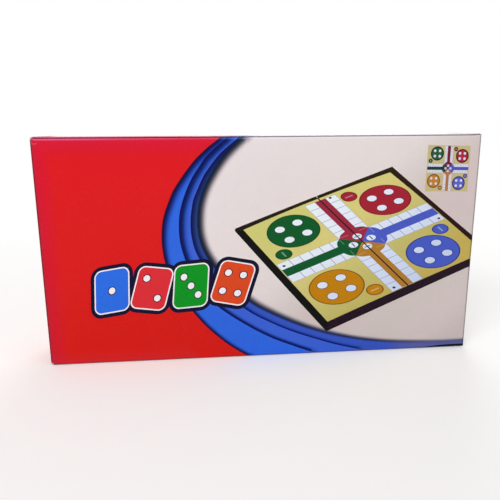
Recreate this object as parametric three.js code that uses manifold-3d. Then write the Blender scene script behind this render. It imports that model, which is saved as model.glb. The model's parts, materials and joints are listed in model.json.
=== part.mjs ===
// Folding ludo set in its printed tuck-end carton, standing on its long narrow side.
// Millimetres, +Z up. X runs along the carton, the printed front faces -Y, and the
// origin is the middle of the face that the carton stands on.

import * as THREE from "three";
import { mergeVertices } from "three/addons/utils/BufferGeometryUtils.js";
import Module from "manifold-3d";

// Folded case: two half shells, hinged on the long side that is up. The carton
// is sized round it.
const caseLength = 243;
const caseWidth = 124;
const caseThickness = 34.6;
const caseCornerRadius = 4;
const partingGap = 0.1;
const longWall = 3;
const shortWall = 2;
const faceWall = 1.8;
const frameWidth = 7;
const frameCornerRadius = 2;

// Room that the carton leaves round the case
const caseFrontGap = 0.4;
const caseRestGap = 0.3;
const caseEndGap = 2;
const caseTopGap = 1.65;

// Carton: a paperboard sleeve with a tuck closure at each short end
const boardThickness = 0.6;
const foldRadius = 1.2;
const creaseGap = 0.15;
const creaseRelief = 0.45;
const flapGap = 0.3;
const glueFlapWidth = 15;
const glueFlapInset = 4;
const glueLine = 0.05;

// End closures and the flaps behind them
const closureSideGap = 0.5;
const tongueLength = 15;
const tongueSideGap = 1.5;
const tongueCornerRadius = 7;
const tongueBackGap = 0.55;
const tongueLean = 1.3;
const tongueCaseGap = 1.35;
const dustFlapLength = 34;
const dustFlapFrontGap = 1.5;
const dustFlapBackGap = 3.7;
const dustFlapLeanSpare = 0.5;
const dustFlapBackLean = 2.2;
const dustFlapCornerRadius = 4;
// How far a dust flap turns for each turn of its closure
const dustFlapTurnShare = 0.5;

// Playing surface: a tin plate under a printed sheet, flush with the frame
const tinThickness = 0.4;
const sheetThickness = 0.25;
const surfaceFitGap = 0.3;

// Case hinge
const knuckleRadius = 2.2;
const knuckleLength = 9;
const knuckleEndGap = 0.4;
const knuckleCount = 4;
const knuckleRunningGap = 0.3;
const hingeInset = 46.5;
const pinRadius = 1;
const pinClearance = 0.08;

// Latch clips on the long side opposite the hinge
const clipLength = 16;
const clipThickness = 1.2;
const clipInset = 56.5;
const clipPivotReach = 7;
const clipHookReach = 6;
const clipHookWidth = 1.2;
const clipHookHeight = 0.8;
const clipBarrelRadius = 1.1;
const clipClearance = 0.2;

// Foam tray, pawns, magnets, die and rules leaflet inside the case
const trayThickness = 8;
const trayEdgeGap = 0.5;
const trayCornerRadius = 3;
const pawnHeight = 17;
const pawnBaseRadius = 5.5;
const pawnRimHeight = 1.4;
const pawnNeckRadius = 2.1;
const pawnNeckHeight = 11.2;
const pawnHeadRadius = 3.3;
const pawnPocketGap = 0.5;
const pawnPocketMargin = 15;
const pawnsPerColour = 4;
const magnetRadius = 3;
const magnetThickness = 2;
const magnetFitGap = 0.1;
const dieSize = 10;
const dieCornerRadius = 1;
const diePipRadius = 0.8;
const diePipDepth = 0.35;
const diePipPitch = 2.7;
const diePocketGap = 0.8;
const diePocketMargin = 54;
const leafletLength = 120;
const leafletWidth = 84;
const leafletPaper = 0.2;
const leafletFoldGap = 0.2;
const seatGap = 0.1;
const cutOverrun = 1;

// Facet counts
const foldSteps = 2;
const cornerSteps = 3;
const rootSides = 12;
const roundSides = 16;
const pawnSides = 14;
const pocketSteps = 6;
const pipSides = 8;

// Sizes that follow from the ones above
const caseBottomZ = 2 * boardThickness + glueLine + caseRestGap;
const caseBackGap = tongueBackGap + boardThickness + tongueLean + tongueCaseGap;
const cartonLength = caseLength + 2 * (caseEndGap + flapGap + 2 * boardThickness);
const cartonHeight = caseBottomZ + caseWidth + knuckleRadius + caseTopGap + boardThickness;
const cartonDepth = caseThickness + caseFrontGap + caseBackGap + 2 * boardThickness;
const halfLength = cartonLength / 2;
const halfDepth = cartonDepth / 2;
const halfBoard = boardThickness / 2;
const foldInnerRadius = foldRadius - boardThickness;
const closureRootX = halfLength - halfBoard;
const closureRootY = -halfDepth + halfBoard;
const tongueRootY = halfDepth - boardThickness - tongueBackGap - halfBoard;
const dustRootX = halfLength - boardThickness - flapGap - halfBoard;
const frontPanelLength = 2 * (closureRootX - halfBoard - creaseGap);
const narrowPanelLength = 2 * (dustRootX - halfBoard - creaseGap);
const caseMiddleY = -halfDepth + boardThickness + caseFrontGap + caseThickness / 2;
const hingeAxisZ = caseBottomZ + caseWidth;
const halfThickness = caseThickness / 2;
const surfaceDepth = tinThickness + sheetThickness + glueLine;
const faceInnerZ = halfThickness - surfaceDepth - faceWall;
const hingeLength = knuckleCount * knuckleLength + (knuckleCount - 1) * knuckleEndGap;
const hingeCentres = { left: -caseLength / 2 + hingeInset, right: caseLength / 2 - hingeInset };
const clipCentres = { left: -caseLength / 2 + clipInset, right: caseLength / 2 - clipInset };
const trayHalfLength = caseLength / 2 - shortWall - trayEdgeGap;
const trayNearY = longWall + trayEdgeGap;
const pawnPocketRadius = pawnBaseRadius + pawnPocketGap;
const dieX = trayHalfLength - diePocketMargin - diePocketGap - dieSize / 2;

const wasm = await Module();
wasm.setup();

// Turns a closed three.js geometry into a solid that can be joined and cut
function toSolid(geometry, matrix = new THREE.Matrix4()) {
  const plain = geometry.index ? geometry.toNonIndexed() : geometry.clone();
  plain.deleteAttribute("normal");
  plain.deleteAttribute("uv");
  plain.applyMatrix4(matrix);
  const merged = mergeVertices(plain);
  return new wasm.Manifold(new wasm.Mesh({
    numProp: 3,
    vertProperties: new Float32Array(merged.attributes.position.array),
    triVerts: new Uint32Array(merged.index.array),
  }));
}

function toGeometry(solid) {
  const mesh = solid.getMesh();
  const geometry = new THREE.BufferGeometry();
  geometry.setAttribute("position", new THREE.BufferAttribute(new Float32Array(mesh.vertProperties), 3));
  geometry.setIndex(new THREE.BufferAttribute(new Uint32Array(mesh.triVerts), 1));
  geometry.computeVertexNormals();
  return geometry;
}

function material(color, roughness, metalness = 0) {
  return new THREE.MeshStandardMaterial({ color, roughness, metalness });
}

const printedBoard = material(0xd8232a, 0.3);
const narrowBoard = material(0xc7201f, 0.35);
const flapBoard = material(0xdcd2ce, 0.5);
const blackPlastic = material(0x17141a, 0.45);
const tinPlate = material(0xb8bcc0, 0.3, 1);
const boardPrint = material(0xd9d579, 0.35);
const steel = material(0x9a9da1, 0.3, 1);
const foam = material(0x2a2a2c, 0.9);
const paper = material(0xf2efe8, 0.8);
const diePlastic = material(0xf4f2ec, 0.3);
const magnetFerrite = material(0x3a3a3e, 0.5, 0.4);
const pawnPlastics = {
  red: material(0xc4202c, 0.3),
  green: material(0x0f7a3c, 0.3),
  blue: material(0x2346c0, 0.3),
  yellow: material(0xe5b91c, 0.3),
};

// A frame whose x and y axes point along the two given directions
function frameAt(origin, along, towards) {
  const x = new THREE.Vector3(...along);
  const y = new THREE.Vector3(...towards);
  const z = new THREE.Vector3().crossVectors(x, y);
  return new THREE.Matrix4().makeBasis(x, y, z).setPosition(...origin);
}

function addMesh(parent, name, geometry, surface, matrix = new THREE.Matrix4()) {
  const mesh = new THREE.Mesh(geometry, surface);
  mesh.name = name;
  mesh.applyMatrix4(matrix);
  parent.add(mesh);
  return mesh;
}

function extrude(shape, depth, curveSegments = cornerSteps) {
  return new THREE.ExtrudeGeometry(shape, { depth, curveSegments, bevelEnabled: false });
}

// Closed outline through corner points, each rounded by its own radius
function roundedOutline(corners) {
  const shape = new THREE.Shape();
  corners.forEach(([x, y, radius], i) => {
    const here = new THREE.Vector2(x, y);
    const [px, py] = corners.at(i - 1);
    const [nx, ny] = corners[(i + 1) % corners.length];
    const back = new THREE.Vector2(px, py).sub(here).setLength(radius);
    const on = new THREE.Vector2(nx, ny).sub(here).setLength(radius);
    const start = here.clone().add(back);
    const end = here.clone().add(on);
    if (i === 0) {
      shape.moveTo(start.x, start.y);
    } else {
      shape.lineTo(start.x, start.y);
    }
    if (radius > 0) {
      shape.quadraticCurveTo(x, y, end.x, end.y);
    }
  });
  shape.closePath();
  return shape;
}

function rectangle(x0, y0, x1, y1, nearRadius = 0, farRadius = nearRadius) {
  return roundedOutline([
    [x0, y0, nearRadius],
    [x1, y0, nearRadius],
    [x1, y1, farRadius],
    [x0, y1, farRadius],
  ]);
}

function circlePath(x, y, radius) {
  const path = new THREE.Path();
  path.absarc(x, y, radius, 0, 2 * Math.PI);
  return path;
}

// A rod along X from x0 to x1, centred on (y, z)
function rodAlongX(x0, x1, y, z, radius, sides = roundSides) {
  const rod = new THREE.CylinderGeometry(radius, radius, x1 - x0, sides);
  rod.rotateZ(Math.PI / 2);
  rod.translate((x0 + x1) / 2, y, z);
  return toSolid(rod);
}

function block(x0, y0, z0, x1, y1, z1) {
  const box = new THREE.BoxGeometry(x1 - x0, y1 - y0, z1 - z0);
  box.translate((x0 + x1) / 2, (y0 + y1) / 2, (z0 + z1) / 2);
  return toSolid(box);
}

// Section of a wide panel with the quarter folds at its two long edges:
// x is the depth behind the outer face, y the height
function foldedPanelSection() {
  const high = cartonHeight - foldRadius;
  const shape = new THREE.Shape();
  shape.moveTo(foldRadius, 0);
  shape.absarc(foldRadius, foldRadius, foldRadius, -Math.PI / 2, -Math.PI, true);
  shape.absarc(foldRadius, high, foldRadius, Math.PI, Math.PI / 2, true);
  shape.lineTo(foldRadius, cartonHeight - boardThickness);
  shape.absarc(foldRadius, high, foldInnerRadius, Math.PI / 2, Math.PI, false);
  shape.absarc(foldRadius, foldRadius, foldInnerRadius, Math.PI, 1.5 * Math.PI, false);
  shape.closePath();
  return shape;
}

// The four panels of the sleeve and the flap that glues it shut
function addSleeve(carton) {
  const section = foldedPanelSection();
  const front = extrude(section, frontPanelLength, foldSteps);
  const back = extrude(section, cartonLength, foldSteps);
  const narrow = new THREE.BoxGeometry(narrowPanelLength, cartonDepth - 2 * foldRadius, boardThickness);
  addMesh(carton, "front_panel", front, printedBoard,
    frameAt([-frontPanelLength / 2, -halfDepth, 0], [0, 1, 0], [0, 0, 1]));
  addMesh(carton, "back_panel", back, printedBoard,
    frameAt([halfLength, halfDepth, 0], [0, -1, 0], [0, 0, 1]));
  addMesh(carton, "top_panel", narrow, narrowBoard,
    new THREE.Matrix4().setPosition(0, 0, cartonHeight - halfBoard));
  addMesh(carton, "bottom_panel", narrow, narrowBoard,
    new THREE.Matrix4().setPosition(0, 0, halfBoard));

  const glueHalf = narrowPanelLength / 2 - glueFlapInset;
  const glueOutline = roundedOutline([
    [-glueHalf, 0, 0],
    [glueHalf, 0, 0],
    [glueHalf - glueFlapWidth / 2, glueFlapWidth, foldRadius],
    [-glueHalf + glueFlapWidth / 2, glueFlapWidth, foldRadius],
  ]);
  addMesh(carton, "glue_flap", extrude(glueOutline, boardThickness), flapBoard,
    frameAt([0, halfDepth - foldRadius, 2 * boardThickness + glueLine], [1, 0, 0], [0, -1, 0]));
}

// A flap with a rounded root that turns on its crease: x runs along the crease,
// y from the crease to the tip
function creasedFlap(outline, rootStart, rootEnd) {
  const plate = extrude(outline, boardThickness);
  plate.translate(0, 0, -halfBoard);
  const root = rodAlongX(rootStart, rootEnd, 0, 0, halfBoard, rootSides);
  return toGeometry(toSolid(plate).add(root));
}

// The closure's section, extruded over its height: x runs outwards, and the far
// edge slants back on the inside so that the tongue can fold in against it
function closureGeometry() {
  const reach = tongueRootY - closureRootY - halfBoard - creaseGap;
  const section = new THREE.Shape();
  section.absarc(0, 0, halfBoard, -Math.PI, 0, false);
  section.lineTo(halfBoard, reach);
  section.lineTo(-halfBoard, reach - creaseRelief);
  section.closePath();
  return extrude(section, cartonHeight - 2 * closureSideGap);
}

function tongueGeometry() {
  const high = cartonHeight - tongueSideGap;
  const outline = rectangle(tongueSideGap, 0, high, tongueLength, 0, tongueCornerRadius);
  return creasedFlap(outline, tongueSideGap, high);
}

// The front edge leans back so that the closure always turns ahead of the flap
function dustFlapGeometry() {
  const nearFront = dustFlapFrontGap;
  const nearBack = cartonDepth - dustFlapBackGap;
  const frontLean = dustFlapLength * dustFlapTurnShare + dustFlapLeanSpare;
  const outline = roundedOutline([
    [nearFront, 0, 0],
    [nearBack, 0, 0],
    [nearBack - dustFlapBackLean, dustFlapLength, dustFlapCornerRadius],
    [nearFront + frontLean, dustFlapLength, dustFlapCornerRadius],
  ]);
  return creasedFlap(outline, nearFront, nearBack);
}

// Closure, tuck tongue and two dust flaps of one end: side is -1 at the left, 1 at the right
function addEnd(carton, side, sideName) {
  const cant = Math.asin(tongueLean / tongueLength);
  const inward = [-side * Math.cos(cant), -Math.sin(cant), 0];
  const closureStartZ = cartonHeight / 2 - side * (cartonHeight / 2 - closureSideGap);
  addMesh(carton, `${sideName}_end_closure`, closureGeometry(), printedBoard,
    frameAt([side * closureRootX, closureRootY, closureStartZ], [side, 0, 0], [0, 1, 0]));
  addMesh(carton, `${sideName}_tuck_tongue`, tongueGeometry(), flapBoard,
    frameAt([side * closureRootX, tongueRootY, 0], [0, 0, 1], inward));
  addMesh(carton, `${sideName}_top_dust_flap`, dustFlapGeometry(), flapBoard,
    frameAt([side * dustRootX, -halfDepth, cartonHeight - halfBoard], [0, 1, 0], [0, 0, -1]));
  addMesh(carton, `${sideName}_bottom_dust_flap`, dustFlapGeometry(), flapBoard,
    frameAt([side * dustRootX, -halfDepth, halfBoard], [0, 1, 0], [0, 0, 1]));
}

// Starts of the knuckles along X: a half shell owns every second one, and the
// other half, turned round, owns the ones between
function knuckleStarts(parity) {
  const starts = [];
  for (const centre of Object.values(hingeCentres)) {
    for (let i = 0; i < knuckleCount; i += 1) {
      if (i % 2 === parity) {
        starts.push(centre - hingeLength / 2 + i * (knuckleLength + knuckleEndGap));
      }
    }
  }
  return starts;
}

// One half shell: x along the case, y from the hinge edge to the far edge,
// z from the parting plane to the playing face
function halfShellBlank() {
  const half = caseLength / 2;
  const outer = extrude(
    rectangle(-half, 0, half, caseWidth, partingGap, caseCornerRadius),
    halfThickness - partingGap / 2,
  );
  outer.translate(0, 0, partingGap / 2);
  const hollow = extrude(
    rectangle(-half + shortWall, longWall, half - shortWall, caseWidth - longWall, caseCornerRadius / 2),
    faceInnerZ + cutOverrun,
  );
  hollow.translate(0, 0, -cutOverrun);
  const inlaySide = half - frameWidth;
  const inlay = extrude(
    rectangle(-inlaySide, -cutOverrun, inlaySide, caseWidth - frameWidth, 0, frameCornerRadius),
    surfaceDepth + cutOverrun,
  );
  inlay.translate(0, 0, halfThickness - surfaceDepth);
  return toSolid(outer).subtract(toSolid(hollow)).subtract(toSolid(inlay));
}

function withKnuckles(shell) {
  const notchRadius = knuckleRadius + knuckleRunningGap;
  let result = shell;
  for (const start of knuckleStarts(1)) {
    const notchStart = start - knuckleEndGap;
    const notchEnd = start + knuckleLength + knuckleEndGap;
    result = result.subtract(rodAlongX(notchStart, notchEnd, 0, 0, notchRadius));
  }
  for (const start of knuckleStarts(0)) {
    result = result.add(rodAlongX(start, start + knuckleLength, 0, 0, knuckleRadius));
  }
  for (const centre of Object.values(hingeCentres)) {
    const reach = hingeLength / 2 + cutOverrun;
    result = result.subtract(rodAlongX(centre - reach, centre + reach, 0, 0, pinRadius + pinClearance));
  }
  return result;
}

// Room for a latch clip across the parting plane: the clip turns on a barrel in
// the front half and hooks into a slot in the rear half
function withClipSeats(shell, holdsBarrel) {
  const seatHalf = clipLength / 2 + clipClearance;
  const seatFloor = caseWidth - clipThickness - clipClearance;
  const outside = caseWidth + cutOverrun;
  let result = shell;
  for (const centre of Object.values(clipCentres)) {
    const x0 = centre - seatHalf;
    const x1 = centre + seatHalf;
    const reach = (holdsBarrel ? clipPivotReach : clipHookReach) + clipClearance;
    result = result.subtract(block(x0, seatFloor, -cutOverrun, x1, outside, reach));
    if (holdsBarrel) {
      const barrelY = caseWidth - clipBarrelRadius;
      const groove = rodAlongX(x0, x1, barrelY, clipPivotReach, clipBarrelRadius + clipClearance);
      result = result.subtract(groove);
    } else {
      const slotStart = clipHookReach - clipHookWidth - clipClearance;
      result = result.subtract(block(x0, seatFloor - clipHookHeight, slotStart, x1, outside, reach));
    }
  }
  return result;
}

function surfaceOutline() {
  const half = caseLength / 2 - frameWidth - surfaceFitGap;
  const far = caseWidth - frameWidth - surfaceFitGap;
  return rectangle(-half, surfaceFitGap, half, far, 0, frameCornerRadius);
}

// Frame of a half: its playing face looks along faceY, and its hinge edge is up
function halfFrame(faceY) {
  return frameAt([0, caseMiddleY, hingeAxisZ], [faceY, 0, 0], [0, 0, -1]);
}

function addHalf(parent, name, holdsBarrel) {
  const shell = withClipSeats(withKnuckles(halfShellBlank()), holdsBarrel);
  addMesh(parent, `${name}_half_shell`, toGeometry(shell), blackPlastic);

  const plate = extrude(surfaceOutline(), tinThickness - glueLine);
  plate.translate(0, 0, halfThickness - surfaceDepth + glueLine);
  addMesh(parent, `${name}_tin_plate`, plate, tinPlate);

  const sheet = extrude(surfaceOutline(), sheetThickness - glueLine);
  sheet.translate(0, 0, halfThickness - sheetThickness);
  addMesh(parent, `${name}_play_sheet`, sheet, boardPrint);
}

function addHingePins(parent) {
  for (const [sideName, centre] of Object.entries(hingeCentres)) {
    const pin = rodAlongX(centre - hingeLength / 2, centre + hingeLength / 2, 0, 0, pinRadius);
    addMesh(parent, `${sideName}_hinge_pin`, toGeometry(pin), steel);
  }
}

// Clip section across the parting plane: x runs from the front half to the rear
// half, y from the case's outer face inwards
function clipSection() {
  const shape = new THREE.Shape();
  shape.moveTo(-clipPivotReach, 0);
  shape.lineTo(clipHookReach, 0);
  shape.lineTo(clipHookReach, clipThickness + clipHookHeight / 2);
  shape.lineTo(clipHookReach - clipHookWidth / 2, clipThickness + clipHookHeight);
  shape.lineTo(clipHookReach - clipHookWidth, clipThickness);
  shape.lineTo(-clipPivotReach + clipBarrelRadius, clipThickness);
  shape.absarc(-clipPivotReach, clipBarrelRadius, clipBarrelRadius, 0, 1.5 * Math.PI, false);
  shape.closePath();
  return shape;
}

function addLatchClips(parent) {
  for (const [sideName, centre] of Object.entries(clipCentres)) {
    const clip = extrude(clipSection(), clipLength);
    addMesh(parent, `${sideName}_latch_clip`, clip, blackPlastic,
      frameAt([centre - clipLength / 2, caseMiddleY, caseBottomZ], [0, 1, 0], [0, 0, 1]));
  }
}

// Pocket centres of the pawns in the half shell's frame, one row to a colour
function pawnPlaces() {
  const places = [];
  const edge = pawnPocketMargin + pawnPocketRadius;
  Object.keys(pawnPlastics).forEach((colour, row, colours) => {
    const pitch = (caseWidth - 2 * (trayNearY + edge)) / (colours.length - 1);
    for (let column = 0; column < pawnsPerColour; column += 1) {
      places.push({
        colour,
        number: column + 1,
        x: -trayHalfLength + edge + column * pitch,
        y: trayNearY + edge + row * pitch,
      });
    }
  });
  return places;
}

function trayGeometry() {
  const farY = caseWidth - trayNearY;
  const outline = rectangle(-trayHalfLength, trayNearY, trayHalfLength, farY, trayCornerRadius);
  for (const { x, y } of pawnPlaces()) {
    outline.holes.push(circlePath(x, y, pawnPocketRadius));
  }
  const half = dieSize / 2 + diePocketGap;
  const middle = caseWidth / 2;
  outline.holes.push(rectangle(dieX - half, middle - half, dieX + half, middle + half));
  return extrude(outline, trayThickness, pocketSteps);
}

// Pawn turned round its own axis, with a blind hole for the magnet in its base
function pawnGeometry() {
  const holeRadius = magnetRadius + magnetFitGap;
  const holeDepth = magnetThickness + magnetFitGap;
  const headCentre = pawnHeight - pawnHeadRadius;
  const headStart = Math.asin((pawnNeckHeight - headCentre) / pawnHeadRadius);
  const skirt = new THREE.QuadraticBezierCurve(
    new THREE.Vector2(pawnBaseRadius, pawnRimHeight),
    new THREE.Vector2(pawnNeckRadius, 2 * pawnRimHeight),
    new THREE.Vector2(pawnNeckRadius, pawnNeckHeight),
  );
  const head = new THREE.EllipseCurve(
    0, headCentre, pawnHeadRadius, pawnHeadRadius, headStart, Math.PI / 2,
  );
  const profile = [
    new THREE.Vector2(0, holeDepth),
    new THREE.Vector2(holeRadius, holeDepth),
    new THREE.Vector2(holeRadius, 0),
    new THREE.Vector2(pawnBaseRadius, 0),
    ...skirt.getPoints(cornerSteps),
    ...head.getPoints(2 * cornerSteps),
  ];
  profile.at(-1).x = 0;
  return new THREE.LatheGeometry(profile, pawnSides);
}

// Places a turned piece with its base at (x, y) on the half's inner face, top towards the parting plane
function standingIn(x, y, lift) {
  return frameAt([x, y, faceInnerZ - seatGap - lift], [1, 0, 0], [0, 0, -1]);
}

function addPawns(parent) {
  for (const { colour, number, x, y } of pawnPlaces()) {
    addMesh(parent, `${colour}_pawn_${number}`, pawnGeometry(), pawnPlastics[colour], standingIn(x, y, 0));
    const disc = new THREE.CylinderGeometry(magnetRadius, magnetRadius, magnetThickness, pawnSides);
    addMesh(parent, `${colour}_pawn_${number}_magnet`, disc, magnetFerrite,
      standingIn(x, y, magnetThickness / 2));
  }
}

// Pip places on a die's face, as multiples of the pip pitch
const pipShares = {
  1: [[0, 0]],
  2: [[-1, -1], [1, 1]],
  3: [[-1, -1], [0, 0], [1, 1]],
  4: [[-1, -1], [-1, 1], [1, -1], [1, 1]],
  5: [[-1, -1], [-1, 1], [0, 0], [1, -1], [1, 1]],
  6: [[-1, -1], [-1, 0], [-1, 1], [1, -1], [1, 0], [1, 1]],
};
const dieFaces = [
  { pips: 1, turn: [0, 0] },
  { pips: 2, turn: [Math.PI / 2, 0] },
  { pips: 3, turn: [0, Math.PI / 2] },
  { pips: 4, turn: [0, -Math.PI / 2] },
  { pips: 5, turn: [-Math.PI / 2, 0] },
  { pips: 6, turn: [Math.PI, 0] },
];

function dieGeometry() {
  const half = dieSize / 2;
  const outline = rectangle(-half, -half, half, half, dieCornerRadius);
  const prism = extrude(outline, dieSize);
  prism.translate(0, 0, -half);
  const upright = toSolid(prism);
  const lying = toSolid(prism, new THREE.Matrix4().makeRotationX(Math.PI / 2));
  const sideways = toSolid(prism, new THREE.Matrix4().makeRotationY(Math.PI / 2));
  let die = upright.intersect(lying).intersect(sideways);
  for (const { pips, turn } of dieFaces) {
    for (const [x, y] of pipShares[pips]) {
      const drill = new THREE.CylinderGeometry(diePipRadius, 0, 2 * diePipDepth, pipSides);
      drill.rotateX(Math.PI / 2);
      drill.translate(x * diePipPitch, y * diePipPitch, half);
      drill.rotateX(turn[0]);
      drill.rotateY(turn[1]);
      die = die.subtract(toSolid(drill));
    }
  }
  return toGeometry(die);
}

// Rules leaflet, folded once: a thin U in section
function leafletGeometry() {
  const inner = leafletFoldGap / 2;
  const outer = inner + leafletPaper;
  const shape = new THREE.Shape();
  shape.moveTo(0, -outer);
  shape.lineTo(leafletWidth, -outer);
  shape.lineTo(leafletWidth, -inner);
  shape.lineTo(0, -inner);
  shape.absarc(0, 0, inner, -Math.PI / 2, -1.5 * Math.PI, true);
  shape.lineTo(leafletWidth, inner);
  shape.lineTo(leafletWidth, outer);
  shape.lineTo(0, outer);
  shape.absarc(0, 0, outer, Math.PI / 2, 1.5 * Math.PI, false);
  return extrude(shape, leafletLength);
}

function addCase(parent) {
  const frontHalf = new THREE.Group();
  frontHalf.applyMatrix4(halfFrame(-1));
  addHalf(frontHalf, "front", true);
  const leafletLift = seatGap + leafletPaper + leafletFoldGap / 2;
  addMesh(frontHalf, "rules_leaflet", leafletGeometry(), paper,
    frameAt([-leafletLength / 2, caseWidth - longWall - leafletWidth - seatGap, faceInnerZ - leafletLift],
      [0, 1, 0], [0, 0, 1]));

  const rearHalf = new THREE.Group();
  rearHalf.applyMatrix4(halfFrame(1));
  addHalf(rearHalf, "rear", false);
  addMesh(rearHalf, "foam_tray", trayGeometry(), foam,
    new THREE.Matrix4().setPosition(0, 0, faceInnerZ - seatGap - trayThickness));
  addPawns(rearHalf);
  addMesh(rearHalf, "die", dieGeometry(), diePlastic,
    new THREE.Matrix4().setPosition(dieX, caseWidth / 2, faceInnerZ - seatGap - dieSize / 2));

  const hingeAndClips = new THREE.Group();
  addLatchClips(hingeAndClips);
  const hingeLine = new THREE.Group();
  hingeLine.position.set(0, caseMiddleY, hingeAxisZ);
  addHingePins(hingeLine);
  parent.add(frontHalf, rearHalf, hingeAndClips, hingeLine);
}

const group = new THREE.Group();
addSleeve(group);
addEnd(group, -1, "left");
addEnd(group, 1, "right");
addCase(group);

export default group;
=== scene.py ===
import json
import math

import bpy
import numpy as np
from mathutils import Matrix, Vector
from mathutils.geometry import delaunay_2d_cdt


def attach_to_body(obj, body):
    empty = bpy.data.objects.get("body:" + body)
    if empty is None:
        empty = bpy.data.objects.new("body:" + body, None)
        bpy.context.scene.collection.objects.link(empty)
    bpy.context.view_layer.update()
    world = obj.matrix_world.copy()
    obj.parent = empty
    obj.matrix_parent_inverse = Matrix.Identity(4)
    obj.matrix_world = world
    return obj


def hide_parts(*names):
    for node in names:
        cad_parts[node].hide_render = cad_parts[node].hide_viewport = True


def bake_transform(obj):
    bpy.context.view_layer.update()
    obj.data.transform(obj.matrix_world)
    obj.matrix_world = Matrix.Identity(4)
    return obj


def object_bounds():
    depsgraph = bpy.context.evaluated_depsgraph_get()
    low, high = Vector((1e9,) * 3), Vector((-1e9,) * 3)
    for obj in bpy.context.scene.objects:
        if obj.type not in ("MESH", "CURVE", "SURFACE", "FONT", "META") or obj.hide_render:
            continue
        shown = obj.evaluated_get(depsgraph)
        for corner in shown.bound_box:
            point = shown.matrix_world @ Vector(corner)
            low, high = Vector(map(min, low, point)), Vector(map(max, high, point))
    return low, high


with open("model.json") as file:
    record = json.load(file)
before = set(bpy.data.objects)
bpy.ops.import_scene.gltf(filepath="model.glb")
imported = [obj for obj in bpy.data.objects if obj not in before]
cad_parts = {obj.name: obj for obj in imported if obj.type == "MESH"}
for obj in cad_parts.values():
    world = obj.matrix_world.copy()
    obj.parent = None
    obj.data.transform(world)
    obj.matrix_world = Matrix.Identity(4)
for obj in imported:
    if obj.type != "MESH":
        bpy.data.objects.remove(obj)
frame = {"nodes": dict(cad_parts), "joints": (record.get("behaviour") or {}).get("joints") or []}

cad_low, cad_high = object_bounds()
MM = 0.001


def joint_place(name):
    """Where a joint's axis lies, in mm."""
    joint = next(j for j in frame["joints"] if j["name"] == name)
    return np.round(np.array(joint["pos_m"]) / MM, 4)


# The camera of the photograph, solved from the corners of the front face (mm, degrees, pixels)
PHOTO_SIDE, PHOTO_MIDDLE = 500, 250
FOCAL_PIXELS = 526.8
CAMERA_PLACE = np.array((-36.5, -313.6, 132.5))
CAMERA_YAW, CAMERA_PITCH, CAMERA_ROLL = (math.radians(turn) for turn in (5.45, 12.79, -0.39))
SENSOR_WIDTH = 36.0
CLIP_NEAR, CLIP_FAR = 0.01, 50.0

# The carton (mm): x runs along it from its middle, its front faces -y, and z is up from its foot
HALF_LENGTH, HALF_DEPTH, HEIGHT = (round(value / MM, 3) for value in cad_high)
BOARD, FOLD_RADIUS = 0.6, 1.2
CREASE_RADIUS, CREASE_SKIN, CREASE_REACH = 0.75, 0.3, 0.45
CLOSURE_AXIS = joint_place("right_end_open")[:2]
DUST_AXIS = joint_place("right_top_dust_flap_open")[[0, 2]]
TONGUE_AXIS_Y = joint_place("right_tongue_fold")[1]
CLOSURE_SIDE_GAP = 0.5
TONGUE_LENGTH, TONGUE_LEAN, TONGUE_SIDE_GAP, TONGUE_CORNER = 15.0, 1.3, 1.5, 7.0
DUST_LENGTH, DUST_CORNER = 34.0, 4.0
DUST_FRONT, DUST_FRONT_LEAN = 1.5, 17.5
DUST_BACK, DUST_BACK_LEAN = 36.3, 2.2

CURVE_STEPS, TINY = 8, 1e-12


def linear(*rgb):
    """sRGB levels of 0 to 255 as linear colour."""
    c = np.array(rgb, float) / 255
    return np.where(c <= 0.04045, c / 12.92, ((c + 0.055) / 1.055) ** 2.4)


def rising(value, start, length):
    """0 up to a start, and from there up to 1 over a length."""
    return np.clip((value - start) / length, 0, 1)


def falling(value, reach):
    """1 at a value of 0, down to 0 at its reach."""
    return np.clip(1 - value / reach, 0, 1)


def rotated(points, angle):
    """Points turned about the origin."""
    x, y = np.asarray(points).T
    c, s = math.cos(angle), math.sin(angle)
    return np.stack((c * x - s * y, s * x + c * y), axis=-1)


def add_object(name, data):
    obj = bpy.data.objects.new(name, data)
    bpy.context.scene.collection.objects.link(obj)
    return obj


def camera_axes():
    """The camera's directions to its right, up and forward."""
    cy, sy = math.cos(CAMERA_YAW), math.sin(CAMERA_YAW)
    cp, sp = math.cos(CAMERA_PITCH), math.sin(CAMERA_PITCH)
    cr, sr = math.cos(CAMERA_ROLL), math.sin(CAMERA_ROLL)
    forward = np.array((sy * cp, cy * cp, -sp))
    level = np.array((cy, -sy, 0.0))
    lift = np.cross(level, forward)
    return cr * level + sr * lift, -sr * level + cr * lift, forward


def add_camera():
    right, up, forward = camera_axes()
    data = bpy.data.cameras.new("photo_camera")
    data.sensor_width = SENSOR_WIDTH
    data.lens = FOCAL_PIXELS * SENSOR_WIDTH / PHOTO_SIDE
    data.clip_start, data.clip_end = CLIP_NEAR, CLIP_FAR
    camera = add_object("photo_camera", data)
    rows = np.column_stack((right, up, -forward, CAMERA_PLACE * MM))
    camera.matrix_world = Matrix([*rows.tolist(), (0, 0, 0, 1)])
    bpy.context.scene.camera = camera


def on_front(pixels):
    """The places on the front face, x and z in mm, that show at some pixels of the photograph."""
    right, up, forward = camera_axes()
    across, down = (np.array(pixels, float) - PHOTO_MIDDLE).T[:, :, None] / FOCAL_PIXELS
    ray = forward + across * right - down * up
    hit = CAMERA_PLACE + ray * (-HALF_DEPTH - CAMERA_PLACE[1]) / ray[:, 1:2]
    return hit[:, [0, 2]]


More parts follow.
